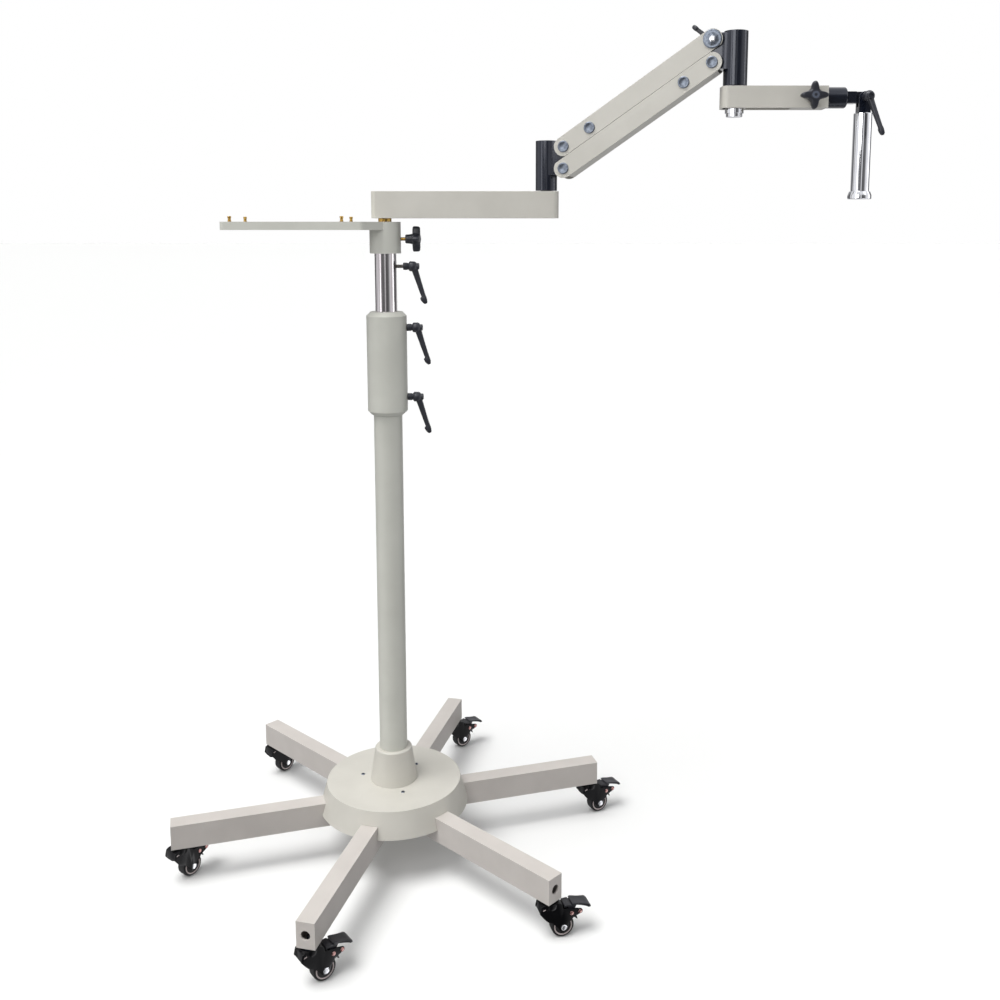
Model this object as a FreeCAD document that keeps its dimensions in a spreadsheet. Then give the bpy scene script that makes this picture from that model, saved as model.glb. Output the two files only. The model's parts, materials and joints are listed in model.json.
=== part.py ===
# Mobile floor stand for a stereo microscope, in millimetres, +Z up.
# The origin is on the floor under the column's axis. The lower arm lies along +X.
# Every size is a cell of the sheet "Dims"; words in the size texts below are its aliases.

import FreeCAD, Part
import math
import os
import re
import Sketcher

Vector = FreeCAD.Vector
Rotation = FreeCAD.Rotation
Placement = FreeCAD.Placement

# Driving dimensions. Heights (z_...) are above the floor.
DIMS = {
    # base
    "leg_under": 85, "leg_high": 57, "leg_wide": 40, "leg_wall": 2.5, "leg_start": 76,
    "leg_reach": 516, "leg_plate": 4, "leg_hole_r": 10, "leg_azimuth": 16.7, "stem_inset": 16.5,
    "cover_notch_r": 100,
    "cover_rim_z": 114, "cover_top_z": 174, "cover_rim_r": 176, "cover_top_r": 159, "cover_wall": 3,
    "screw_ring_r": 77, "screw_head_r": 4.5, "screw_r": 2.5, "screw_start": 35, "screw_low_z": 132,
    # column
    "column_r": 32.5, "column_wall": 3, "column_foot_z": 110, "column_top_z": 1215,
    "socket_base_r": 56, "socket_top_r": 43.5, "socket_spigot_r": 52, "socket_top_z": 254,
    "sleeve_r": 45.5, "sleeve_low_z": 1061, "sleeve_top_z": 1296, "sleeve_chamfer": 9,
    "inner_r": 24.5, "inner_wall": 3, "inner_low_z": 810, "bush_low_z": 1155, "foot_high": 25,
    "fit_gap": 0.08, "turn_gap": 0.3,
    # tray
    "tray_low_z": 1479, "tray_top_z": 1497, "hub_low_z": 1427, "hub_r": 35, "tray_far": 350,
    "tray_near": 40, "tray_wide": 170, "tray_corner_r": 12, "stud_r": 4, "stud_core_r": 3,
    "stud_high": 12, "stud_far": 330, "stud_near": 86, "stud_half": 69,
    # clamp levers and star knobs
    "lever_stud_r": 3.9, "lever_collar_r": 8.4, "lever_collar": 14, "lever_hub_r": 11.3,
    "lever_hub": 16, "lever_button_r": 7.5, "lever_button": 6, "lever_splay": 25,
    "lever_drop": 80, "lever_tip_r": 6, "lever_neck_r": 5.6, "lever_end_r": 4.4,
    "low_lever_z": 1101, "top_lever_z": 1260, "inner_lever_z": 1398, "inner_lever_out": 15,
    "knob_z": 1459, "knob_out": 10.5, "knob_collar_r": 10.4, "knob_collar": 16, "knob_r": 28.5,
    "knob_thick": 17, "knob_flute_r": 22, "knob_flute_out": 37,
    # lower arm
    "bush_neck_r": 14.8, "pin_r": 10, "pin_low_z": 1390, "pin_top_z": 1545, "arm_low_z": 1505,
    "arm_top_z": 1564, "arm_wide": 56, "arm_end": 28, "arm_corner_r": 13, "arm_skin": 6,
    "elbow_x": 361, "elbow_r": 24, "elbow_low_z": 1565.5, "elbow_top_z": 1674, "spigot_r": 12,
    # spring arm
    "arm_swing": 17, "lift": 33.7, "link_long": 381, "pivot_out": 45.5, "pivot_pitch": 46.8,
    "pivot_z": 1659.5, "link_half": 28, "link_wall": 3.5, "link_outer": 21, "link_seam": 19.2,
    "lug_half": 22, "lug_r": 16.5, "lug_bar": 13, "link_pin_r": 6, "pin_cap_r": 12.3,
    "pin_cap": 2.2, "washer_r": 19.5, "anchor_in": 69.5, "spring_r": 13, "spring_eye_r": 10,
    "spring_eye": 8, "spring_hook": 24, "tension_drop": 62, "tension_turn": -198,
    # head
    "head_r": 25, "head_low_z": 1777, "head_top_z": 1888, "short_low_z": 1731,
    "short_top_z": 1775.5, "short_end": 29, "short_long": 190, "short_wide": 50,
    "nut_r": 19.5, "nut_low_z": 1714, "nut_step_r": 17, "nut_step": 7, "slot_from": 22,
    "slot_to": 116, "slot_wide": 30, "slot_deep": 26, "arm_knob_x": 154.5, "axis_z": 1753.5,
    "barrel_r": 21.7, "barrel_long": 42, "barrel_edge": 4, "barrel_shaft_r": 12,
    "barrel_shaft": 56, "tilt_out": 270.5, "yoke_neck": 12, "yoke_neck_long": 20,
    "yoke_r": 12.5, "yoke_half": 6, "ear_half": 12, "tilt_bore_r": 5, "ear_bridge": 13.2, "tilt_in": 21,
    "post_r": 19, "post_bore_r": 15.5, "post_low_z": 1560, "post_top_z": 1722,
    "collar_r": 24.5, "collar_high": 16, "collar_chamfer": 3,
    # castors
    "wheel_r": 25, "wheel_wide": 25, "trail": 27, "axle_r": 4, "axle_cap_r": 6,
    "hub_face_r": 16, "hub_recess": 2.5, "tyre_round": 3, "fork_half": 17, "well_half": 14,
    "well_r": 27.5, "cap_r": 20, "cap_low_z": 66, "cap_top_z": 81.7, "stem_r": 5,
    "stem_low_z": 67, "stem_top_z": 103, "flange_r": 15, "flange_thick": 3, "fork_back": 26,
    "pedal_x": 44, "pedal_z": 54.5, "pedal_hub_r": 5.5, "rivet_r": 2.5, "rivet_head_r": 4,
    "stop_x": 63, "stop_z": 55.7, "pedal_half": 16.5, "pedal_start": 34, "pedal_end": 89,
    "pedal_low_z": 74.5, "pedal_top_z": 79, "pedal_peak_z": 83.5, "pedal_tip_z": 61,
    "claw_half": 8, "claw_z": 32,
}

CASTOR_NAMES = ["right", "back_right", "back_left", "left", "front_left", "front_right"]
# Way each castor's wheel trails, in degrees about +Z from +X.
CASTOR_AZIMUTHS = [28, 35, 48, 55, 37, 17]

doc = FreeCAD.newDocument("microscope_floor_stand")
sheet = doc.addObject("Spreadsheet::Sheet", "Dims")
for row, (alias, size) in enumerate(DIMS.items(), start=1):
    sheet.set(f"A{row}", alias)
    sheet.set(f"B{row}", str(size))
    sheet.setAlias(f"B{row}", alias)
doc.recompute()

nodes = []


def dim(text):
    """The expression for a size text, with every alias pointed at the sheet."""
    return re.sub(r"[a-z_]+", lambda word: "Dims." + word[0] if word[0] in DIMS else word[0], str(text))


def bind(item, **sizes):
    """Bind properties of an object to size texts."""
    for name, text in sizes.items():
        item.setExpression(name, dim(text))
    return item


def put(item, x=0, y=0, z=0, turn=None):
    """Turn an object, then bind its place to size texts."""
    item.Placement = Placement(Vector(0, 0, 0), turn or Rotation())
    for name, text in (("x", x), ("y", y), ("z", z)):
        item.setExpression("Placement.Base." + name, dim(text))
    return item


def box(long, wide, high, x=0, y=0, z=0, turn=None):
    """A box from its lowest corner."""
    item = bind(doc.addObject("Part::Box", "box"), Length=long, Width=wide, Height=high)
    return put(item, x, y, z, turn)


def slab(long, half, high, x=0, z=0):
    """A box centred on the XZ plane, reaching half to each side."""
    return box(long, f"2*({half})", high, x, f"-({half})", z)


ALONG_X = Rotation(Vector(0, 1, 0), 90)
ALONG_Y = Rotation(Vector(1, 0, 0), -90)
DOWN_Y = Rotation(Vector(1, 0, 0), 90)


def rod(radius, long, x=0, y=0, z=0, turn=None):
    """A round bar from the centre of its first end, along +Z unless turned."""
    item = bind(doc.addObject("Part::Cylinder", "rod"), Radius=radius, Height=long)
    return put(item, x, y, z, turn)


def pin(radius, half, x=0, z=0):
    """A round bar along Y, centred on the XZ plane."""
    return rod(radius, f"2*({half})", x, f"-({half})", z, ALONG_Y)


def cone(first_r, last_r, long, x=0, y=0, z=0, turn=None):
    item = doc.addObject("Part::Cone", "cone")
    bind(item, Radius1=first_r, Radius2=last_r, Height=long)
    return put(item, x, y, z, turn)


def ball(radius, x=0, y=0, z=0):
    return put(bind(doc.addObject("Part::Sphere", "ball"), Radius=radius), x, y, z)


def join(*pieces):
    item = doc.addObject("Part::MultiFuse", "join")
    item.Shapes = list(pieces)
    return item


def take(base, *tools):
    """Cut the tools out of the base."""
    item = doc.addObject("Part::Cut", "take")
    item.Base = base
    item.Tool = join(*tools) if len(tools) > 1 else tools[0]
    return item


def group(*pieces):
    """Separate solids that share one node."""
    item = doc.addObject("Part::Compound", "group")
    item.Links = list(pieces)
    return item


def turned_about(piece, centre, turn):
    """A piece drawn about the origin, turned and then carried to a centre."""
    item = group(piece)
    item.Placement = Placement(centre, turn)
    return item


def round_edges(base, radius, wanted):
    """Round the edges of a solid that the test picks."""
    doc.recompute()
    item = doc.addObject("Part::Fillet", "round")
    item.Base = base
    size = DIMS[radius]
    item.Edges = [(n, size, size) for n, edge in enumerate(base.Shape.Edges, start=1) if wanted(edge)]
    return item


def upright(edge):
    """True for a straight edge along Z."""
    ends = [v.Point for v in edge.Vertexes]
    return len(ends) == 2 and (ends[1] - ends[0]).normalize().cross(Vector(0, 0, 1)).Length < 1e-6


def outline(body, plane, points):
    """A closed sketch of straight sides on an origin plane, each corner bound to size texts."""
    sketch = body.newObject("Sketcher::SketchObject", "outline")
    planes = [f for f in body.Origin.OriginFeatures if f.Role == plane]
    sketch.AttachmentSupport = [(planes[0], "")]
    sketch.MapMode = "FlatFace"
    count = len(points)
    rough = []
    for n in range(count):
        angle = 2 * math.pi * n / count
        rough.append(Vector(100 + 90 * math.cos(angle), 100 + 90 * math.sin(angle), 0))
    for n in range(count):
        sketch.addGeometry(Part.LineSegment(rough[n], rough[(n + 1) % count]), False)
    for n in range(count):
        sketch.addConstraint(Sketcher.Constraint("Coincident", n, 2, (n + 1) % count, 1))
    for n, corner in enumerate(points):
        for kind, axis, text, start in (("DistanceX", -2, corner[0], rough[n].x),
                                        ("DistanceY", -1, corner[1], rough[n].y)):
            if text == 0:
                sketch.addConstraint(Sketcher.Constraint("PointOnObject", n, 1, axis))
            else:
                index = sketch.addConstraint(Sketcher.Constraint(kind, -1, 1, n, 1, start))
                sketch.setExpression(f"Constraints[{index}]", dim(text))
    return sketch


def turned(points):
    """A body turned about Z from (radius, height) corners."""
    body = doc.addObject("PartDesign::Body", "turned")
    sketch = outline(body, "XZ_Plane", points)
    revolution = body.newObject("PartDesign::Revolution", "turn")
    revolution.Profile = sketch
    revolution.ReferenceAxis = (sketch, ["V_Axis"])
    revolution.Angle = 360
    return body


def ring(outer, inner, low, high):
    """A turned ring between two heights."""
    return turned([(inner, low), (outer, low), (outer, high), (inner, high)])


def profile(points, half):
    """A body of constant width across the XZ plane, from (x, z) corners."""
    body = doc.addObject("PartDesign::Body", "profile")
    sketch = outline(body, "XZ_Plane", points)
    pad = body.newObject("PartDesign::Pad", "pad")
    pad.Profile = sketch
    pad.SideType = "Symmetric"
    pad.setExpression("Length", dim(f"2*({half})"))
    return body


def plan(points, high):
    """A body of constant height over the XY plane, from (x, y) corners."""
    body = doc.addObject("PartDesign::Body", "plan")
    sketch = outline(body, "XY_Plane", points)
    pad = body.newObject("PartDesign::Pad", "pad")
    pad.Profile = sketch
    pad.setExpression("Length", dim(high))
    return body


def node(name, piece, where=None):
    """Name a finished sub-part and give it its place."""
    holder = group(piece) if where is not None else piece
    if where is not None:
        holder.Placement = where
    holder.Label = name
    nodes.append(holder)
    return holder


def about_z(degrees):
    return Rotation(Vector(0, 0, 1), degrees)


def polar(radius, degrees, z=0):
    angle = math.radians(degrees)
    return Vector(radius * math.cos(angle), radius * math.sin(angle), z)


# --- base -------------------------------------------------------------------------------------

def leg():
    """One square tube along +X with a drilled end plate and a hole for its castor's stem."""
    skin = slab("leg_reach-leg_start", "leg_wide/2", "leg_high", "leg_start", "leg_under")
    inside = slab("leg_reach-leg_start-leg_plate", "leg_wide/2-leg_wall", "leg_high-2*leg_wall",
                  "leg_start", "leg_under+leg_wall")
    port = rod("leg_hole_r", "3*leg_plate", "leg_reach-2*leg_plate", 0, "leg_under+leg_high/2", ALONG_X)
    stem = rod("stem_r", "3*leg_wall", "leg_reach-stem_inset", 0, "leg_under-leg_wall")
    return take(skin, inside, port, stem)


def screw_place(number, turn=0):
    """The plan position of a cover screw, seen from a frame turned by some degrees."""
    angle = f"screw_start+{120 * number + turn}"
    return f"screw_ring_r*cos({angle})", f"screw_ring_r*sin({angle})"


def hub_block():
    """Six-sided block that the legs are welded to, bored for the column."""
    prism = doc.addObject("Part::Prism", "block")
    prism.Polygon = 6
    bind(prism, Circumradius="leg_start/cos(30)", Height="leg_high")
    put(prism, 0, 0, "leg_under")
    taps = [rod("screw_r", "leg_under+leg_high-screw_low_z+1", *screw_place(n, 30), "screw_low_z")
            for n in range(3)]
    return take(prism, rod("column_r+fit_gap", "leg_high", 0, 0, "column_foot_z"), *taps)


def base_cover():
    """Dished cover with a notch over each leg, a hole for the socket and three screw holes."""
    shell = turned([
        ("socket_spigot_r+turn_gap", "cover_top_z-cover_wall"),
        ("cover_top_r-cover_wall", "cover_top_z-cover_wall"),
        ("cover_rim_r-cover_wall", "cover_rim_z"), ("cover_rim_r", "cover_rim_z"),
        ("cover_top_r", "cover_top_z"), ("socket_spigot_r+turn_gap", "cover_top_z")])
    tools = []
    for n in range(6):
        notch = slab("leg_reach", "leg_wide/2+0.5", "leg_under+leg_high+0.5-cover_rim_z+1", "cover_notch_r",
                     "cover_rim_z-1")
        tools.append(turned_about(notch, Vector(0, 0, 0), about_z(60 * n)))
    for n in range(3):
        tools.append(rod("screw_r+0.1", "4*cover_wall", *screw_place(n), "cover_top_z-2*cover_wall"))
    return take(shell, *tools)


def cover_screw(number):
    """A pan-head screw through the cover into the hub block."""
    head = rod("screw_head_r", "cover_wall/2", *screw_place(number), "cover_top_z")
    shank = rod("screw_r", "cover_top_z-screw_low_z+1", *screw_place(number), "screw_low_z")
    return join(head, shank)


leg_turn = DIMS["leg_azimuth"]
for number, label in enumerate(CASTOR_NAMES):
    node("leg_" + label, leg(), Placement(Vector(0, 0, 0), about_z(leg_turn + 60 * number)))
node("hub_block", hub_block(), Placement(Vector(0, 0, 0), about_z(leg_turn - 30)))
node("base_cover", base_cover(), Placement(Vector(0, 0, 0), about_z(leg_turn)))
node("cover_screws", group(*[cover_screw(n) for n in range(3)]),
     Placement(Vector(0, 0, 0), about_z(leg_turn)))

# --- column -----------------------------------------------------------------------------------

node("column_socket", turned([
    ("column_r+fit_gap", "leg_under+leg_high"), ("socket_spigot_r", "leg_under+leg_high"),
    ("socket_spigot_r", "cover_top_z"), ("socket_base_r", "cover_top_z"),
    ("socket_top_r", "socket_top_z-2"), ("socket_top_r-2", "socket_top_z"),
    ("column_r+fit_gap", "socket_top_z")]))
node("column_tube", ring("column_r", "column_r-column_wall", "column_foot_z", "column_top_z"))

sleeve = turned([
    ("column_r+fit_gap", "sleeve_low_z"), ("sleeve_r-sleeve_chamfer", "sleeve_low_z"),
    ("sleeve_r", "sleeve_low_z+sleeve_chamfer"), ("sleeve_r", "sleeve_top_z-sleeve_chamfer"),
    ("sleeve_r-sleeve_chamfer", "sleeve_top_z"), ("inner_r+fit_gap", "sleeve_top_z"),
    ("inner_r+fit_gap", "column_top_z+0.2"), ("column_r+fit_gap", "column_top_z+0.2")])
lever_holes = [rod("lever_stud_r+fit_gap", "sleeve_r", "inner_r", 0, z, ALONG_X)
               for z in ("low_lever_z", "top_lever_z")]
node("clamp_sleeve", take(sleeve, *lever_holes))
node("column_bush", ring("column_r-column_wall-0.02", "inner_r+fit_gap", "bush_low_z", "column_top_z"))

inner = ring("inner_r", "inner_r-inner_wall", "inner_low_z", "tray_top_z-1")
inner_hole = rod("lever_stud_r+fit_gap", "2*inner_r", "pin_r+1", 0, "inner_lever_z", ALONG_X)
node("inner_column", take(inner, inner_hole))
node("inner_column_foot", turned([
    (0, "inner_low_z-foot_high"), ("column_r-column_wall-0.2", "inner_low_z-foot_high"),
    ("column_r-column_wall-0.2", "inner_low_z"), ("inner_r-inner_wall-0.02", "inner_low_z"),
    ("inner_r-inner_wall-0.02", "inner_low_z+foot_high"), (0, "inner_low_z+foot_high")]))
bush = turned([
    ("pin_r+fit_gap", "inner_lever_z+12"), ("inner_r-inner_wall-0.02", "inner_lever_z+12"),
    ("inner_r-inner_wall-0.02", "tray_top_z"), ("bush_neck_r", "tray_top_z"),
    ("bush_neck_r", "arm_low_z-0.1"), ("pin_r+fit_gap", "arm_low_z-0.1")])
node("pivot_bush", bush)

# --- equipment tray ---------------------------------------------------------------------------

tray_plan = plan([
    (0, 0), ("tray_far-tray_near", 0), ("tray_far", "tray_wide/2-hub_r"),
    ("tray_far+hub_r*0.6", "tray_wide/2-hub_r*0.8"), ("tray_far+hub_r*0.6", "tray_wide/2+hub_r*0.8"),
    ("tray_far", "tray_wide/2+hub_r"),
    ("tray_far-tray_near", "tray_wide"), (0, "tray_wide")], "tray_top_z-tray_low_z")
put(tray_plan, "-tray_far", "-tray_wide/2", "tray_low_z")


def tray_corner(edge):
    """True for the plate's outer upright corners."""
    return upright(edge) and edge.Vertexes[0].Point.x < -DIMS["tray_near"] + 1


tray_body = join(round_edges(group(tray_plan), "tray_corner_r", tray_corner),
                 rod("hub_r", "tray_top_z-hub_low_z", 0, 0, "hub_low_z"))
stud_places = [(x, y) for x in ("-stud_far", "-stud_near") for y in ("-stud_half", "stud_half")]
tray_tools = [rod("stud_core_r", "2*(tray_top_z-tray_low_z)", x, y, "tray_low_z-5") for x, y in stud_places]
tray_tools.append(rod("inner_r+fit_gap", "2*(tray_top_z-hub_low_z)", 0, 0, "hub_low_z-5"))
tray_tools.append(rod("lever_stud_r+fit_gap", "hub_r", "inner_r-5", 0, "knob_z", ALONG_X))
node("tray_plate", take(tray_body, *tray_tools))
node("tray_studs", group(*[
    join(rod("stud_r", "stud_high", x, y, "tray_top_z"),
         rod("stud_core_r", "tray_top_z-tray_low_z", x, y, "tray_low_z")) for x, y in stud_places]))


# --- clamp levers and star knobs --------------------------------------------------------------

def clamp_lever(stud_in, stud_out, drop="lever_drop"):
    """A lever that turns about +X, its hub starting at x = 0 and its handle hanging along -Z."""
    stud = rod("lever_stud_r", f"{stud_in}+{stud_out}+lever_collar", f"-({stud_in}+{stud_out})", 0, 0, ALONG_X)
    collar = rod("lever_collar_r", "lever_collar", 0, 0, 0, ALONG_X)
    hub = rod("lever_hub_r", "lever_hub", "lever_collar", 0, 0, ALONG_X)
    button = rod("lever_button_r", "lever_button", "lever_collar+lever_hub", 0, 0, ALONG_X)
    slope = math.degrees(math.atan2(DIMS["lever_splay"], DIMS[drop]))
    handle = cone("lever_neck_r", "lever_end_r", f"sqrt(lever_splay^2+{drop}^2)", "lever_collar+lever_hub*0.6",
                  turn=Rotation(Vector(0, 1, 0), 180 - slope))
    tip = ball("lever_tip_r", "lever_collar+lever_hub*0.6+lever_splay", 0, f"-{drop}")
    return join(stud, collar, hub, button, handle, tip)


def star_knob(stud_in, stud_out):
    """A four-lobed knob on a threaded stud along +X, its collar starting at x = 0."""
    stud = rod("lever_stud_r", f"{stud_in}+{stud_out}+knob_collar", f"-({stud_in}+{stud_out})", 0, 0, ALONG_X)
    collar = rod("knob_collar_r", "knob_collar+1", 0, 0, 0, ALONG_X)
    disc = rod("knob_r", "knob_thick", "knob_collar", 0, 0, ALONG_X)
    flutes = [rod("knob_flute_r", "knob_thick+2", "knob_collar-1", f"knob_flute_out*cos({45 + 90 * n})",
                  f"knob_flute_out*sin({45 + 90 * n})", ALONG_X) for n in range(4)]
    lobes = take(disc, *flutes)
    return join(stud, collar, lobes)


sleeve_gap = DIMS["sleeve_r"] + DIMS["turn_gap"]
node("sleeve_lever_low", clamp_lever("9", "turn_gap"),
     Placement(Vector(sleeve_gap, 0, DIMS["low_lever_z"]), Rotation()))
node("sleeve_lever_top", clamp_lever("9", "turn_gap"),
     Placement(Vector(sleeve_gap, 0, DIMS["top_lever_z"]), Rotation()))
node("column_lever", clamp_lever("12", "inner_lever_out"),
     Placement(Vector(DIMS["inner_r"] + DIMS["inner_lever_out"], 0, DIMS["inner_lever_z"]), Rotation()))
node("tray_knob", star_knob("9.5", "knob_out"),
     Placement(Vector(DIMS["hub_r"] + DIMS["knob_out"], 0, DIMS["knob_z"]), Rotation()))

# --- lower arm --------------------------------------------------------------------------------

node("pivot_pin", rod("pin_r", "pin_top_z-pin_low_z", 0, 0, "pin_low_z"))

arm_bar = round_edges(slab("elbow_x+2*arm_end-1", "arm_wide/2", "arm_top_z-arm_low_z", "-arm_end", "arm_low_z"),
                      "arm_corner_r", upright)
arm_pockets = [slab("(elbow_x-90)/2", "arm_wide/2-arm_skin", "arm_top_z-arm_low_z-arm_skin", x, "arm_low_z-1")
               for x in ("35", "45+(elbow_x-90)/2")]
node("lower_arm", take(
    arm_bar, *arm_pockets, rod("pin_r", "pin_top_z-arm_low_z+1", 0, 0, "arm_low_z-1"),
    rod("spigot_r+fit_gap", "arm_top_z", "elbow_x", 0, "arm_top_z-46")))

# --- spring arm -------------------------------------------------------------------------------

swing = Rotation(Vector(0, 0, 1), -DIMS["arm_swing"])
elbow = Vector(DIMS["elbow_x"], 0, 0)
arm_frame = Placement(elbow, swing)
lift = math.radians(DIMS["lift"])
link_run = DIMS["link_long"] * math.cos(lift)
link_rise = DIMS["link_long"] * math.sin(lift)
link_tilt = Rotation(Vector(0, 1, 0), -DIMS["lift"])
upper_frame = arm_frame.multiply(Placement(Vector(DIMS["pivot_out"], 0, DIMS["pivot_z"]), link_tilt))
lower_frame = arm_frame.multiply(
    Placement(Vector(DIMS["pivot_out"], 0, DIMS["pivot_z"] - DIMS["pivot_pitch"]), link_tilt))
head_axis = arm_frame.multVec(Vector(2 * DIMS["pivot_out"] + link_run, 0, 0))
head_frame = Placement(head_axis, swing)
head_arm_frame = Placement(head_axis, Rotation())


def knuckle(radius, low, top, pivot_z, side, spigot_low):
    """A turned post with a lug for the two links, reaching along side * X, and a spigot below it."""
    post = rod(radius, f"{top}-{low}", 0, 0, low)
    start = "0" if side > 0 else "-pivot_out"
    pivot_x = f"{side}*pivot_out"
    bar = slab("pivot_out", "lug_half", "pivot_pitch+2*lug_bar", start, f"{pivot_z}-pivot_pitch-lug_bar")
    lugs = [pin("lug_r", "lug_half", pivot_x, z) for z in (pivot_z, f"{pivot_z}-pivot_pitch")]
    bores = [pin("link_pin_r+fit_gap", "lug_half+1", pivot_x, z) for z in (pivot_z, f"{pivot_z}-pivot_pitch")]
    spigot = rod("spigot_r", f"{low}-({spigot_low})+1", 0, 0, spigot_low)
    return take(join(post, bar, spigot, *lugs), *bores)


def link(upper):
    """A channel between two pivots along +X, its web outside and its open side at the seam."""
    sign = 1 if upper else -1
    long = "link_long"
    low = "-link_seam" if upper else "-link_outer"
    cheek = slab(long, "link_half", "link_outer+link_seam", 0, low)
    ends = [pin("link_outer", "link_half", x, 0) for x in (0, long)]
    end_caps = doc.addObject("Part::MultiCommon", "caps")
    end_caps.Shapes = [join(*ends), slab("link_long+4*link_outer", "link_half", "link_outer+link_seam",
                                         "-2*link_outer", low)]
    web_z = "-link_seam-1" if upper else "-(link_outer-link_wall)"
    hollow = slab("link_long+4*link_outer", "link_half-link_wall", "link_outer+link_seam-link_wall+1",
                  "-2*link_outer", web_z)
    open_ends = [slab("2*link_outer", "link_half-link_wall", "4*link_outer", x, "-2*link_outer")
                 for x in ("-2*link_outer", long)]
    holes = [pin("link_pin_r", "link_half+1", x, 0) for x in (0, long, anchor_x(sign))]
    return take(join(cheek, end_caps), hollow, *open_ends, *holes)


def anchor_x(sign):
    """Distance of a link's spring anchor from its first pivot."""
    return "anchor_in" if sign > 0 else "link_long-anchor_in"


def link_pin(x, near_cap="pin_cap_r"):
    """A pivot pin through both cheeks with a round cap on each side."""
    return join(pin("link_pin_r", "link_half", x, 0),
                rod(near_cap, "pin_cap", x, "-link_half-pin_cap", 0, ALONG_Y),
                rod("pin_cap_r", "pin_cap", x, "link_half", 0, ALONG_Y))


node("elbow_knuckle", knuckle("elbow_r", "elbow_low_z", "elbow_top_z", "pivot_z", 1, "arm_top_z-45"),
     arm_frame)
node("upper_link", link(True), upper_frame)
node("lower_link", link(False), lower_frame)
node("upper_link_pins", group(link_pin(0), link_pin("link_long", "washer_r"), link_pin("anchor_in")),
     upper_frame)
node("lower_link_pins", group(link_pin(0), link_pin("link_long"), link_pin("link_long-anchor_in")),
     lower_frame)

# The balance spring runs from the upper link's anchor to the lower link's, seen in the upper link's frame.
run = DIMS["link_long"] - 2 * DIMS["anchor_in"] - DIMS["pivot_pitch"] * math.sin(lift)
fall = DIMS["pivot_pitch"] * math.cos(lift)
spring_long = math.hypot(run, fall)
spring_body = spring_long - 2 * DIMS["spring_hook"]


def spring_eye(x):
    return take(pin("spring_eye_r", "spring_eye/2", x, 0), pin("link_pin_r+turn_gap", "spring_eye", x, 0))


spring = join(
    spring_eye(0), spring_eye(f"{spring_long:.3f}"),
    rod("spring_r", f"{spring_body:.3f}", "spring_hook", 0, 0, ALONG_X),
    rod("spring_eye/2-0.5", "spring_hook-link_pin_r-1", "link_pin_r+1", 0, 0, ALONG_X),
    rod("spring_eye/2-0.5", "spring_hook-link_pin_r-1", f"{spring_long:.3f}-spring_hook", 0, 0, ALONG_X))
spring_slope = Rotation(Vector(0, 1, 0), math.degrees(math.atan2(fall, run)))
node("balance_spring", spring, upper_frame.multiply(Placement(Vector(DIMS["anchor_in"], 0, 0), spring_slope)))

head_pivot_z = f"pivot_z+{link_rise:.3f}"
node("head_knuckle", knuckle("head_r", "head_low_z", "head_top_z", head_pivot_z, -1, "nut_low_z+2"), head_frame)
# The tension lever turns on the far end of the upper link's outer pin and points back and up.
tension_frame = upper_frame.multiply(Placement(
    Vector(DIMS["link_long"], DIMS["link_half"] + DIMS["pin_cap"] + DIMS["turn_gap"], 0), about_z(90)))
tension_frame = tension_frame.multiply(Placement(Vector(0, 0, 0), Rotation(Vector(1, 0, 0), DIMS["tension_turn"])))
tension = join(rod("lever_collar_r", "lever_collar/2", 0, 0, 0, ALONG_X),
               rod("lever_hub_r", "lever_hub", "lever_collar/2", 0, 0, ALONG_X),
               cone("lever_neck_r", "lever_end_r", "tension_drop", "lever_collar/2+lever_hub/2", 0, 0,
                    Rotation(Vector(0, 1, 0), 180)),
               ball("lever_tip_r", "lever_collar/2+lever_hub/2", 0, "-tension_drop"))
node("tension_lever", tension, tension_frame)

# --- head -------------------------------------------------------------------------------------

def short_end_edge(edge):
    """True for the upright edges at the rounded end."""
    return upright(edge) and edge.Vertexes[0].Point.x < 0


short_bar = round_edges(
    slab("short_end+short_long", "short_wide/2", "short_top_z-short_low_z", "-short_end", "short_low_z"),
    "arm_corner_r", short_end_edge)
node("short_arm", take(
    short_bar, rod("spigot_r+fit_gap", "2*(short_top_z-short_low_z)", 0, 0, "short_low_z-5"),
    slab("slot_to-slot_from", "slot_wide/2", "slot_deep+1", "slot_from", "short_low_z-1"),
    rod("barrel_shaft_r+fit_gap", "barrel_shaft+2", "short_long-barrel_shaft", 0, "axis_z", ALONG_X),
    rod("lever_stud_r+fit_gap", "short_wide/2-barrel_shaft_r+2", "arm_knob_x", "-short_wide/2-1", "axis_z",
        ALONG_Y)),
    head_arm_frame)
node("head_nut", take(
    join(rod("nut_r", "short_low_z-nut_low_z-nut_step-turn_gap", 0, 0, "nut_low_z+nut_step"),
         rod("nut_step_r", "nut_step+1", 0, 0, "nut_low_z")),
    rod("spigot_r", "short_low_z-nut_low_z", 0, 0, "nut_low_z+2")), head_frame)
node("arm_knob", star_knob("12", "turn_gap"), head_arm_frame.multiply(Placement(
    Vector(DIMS["arm_knob_x"], -DIMS["short_wide"] / 2 - DIMS["turn_gap"], DIMS["axis_z"]), about_z(-90))))

barrel = join(rod("barrel_shaft_r", "barrel_shaft", "short_long-barrel_shaft+turn_gap+1", 0, "axis_z", ALONG_X),
              rod("barrel_r", "barrel_long", "short_long+turn_gap", 0, "axis_z", ALONG_X))


def barrel_end(edge):
    """True for the round edge at the barrel's outer end."""
    box_of = edge.BoundBox
    return box_of.XLength < 1e-3 and box_of.XMin > DIMS["short_long"] + 10 and box_of.YLength > 30


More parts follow.
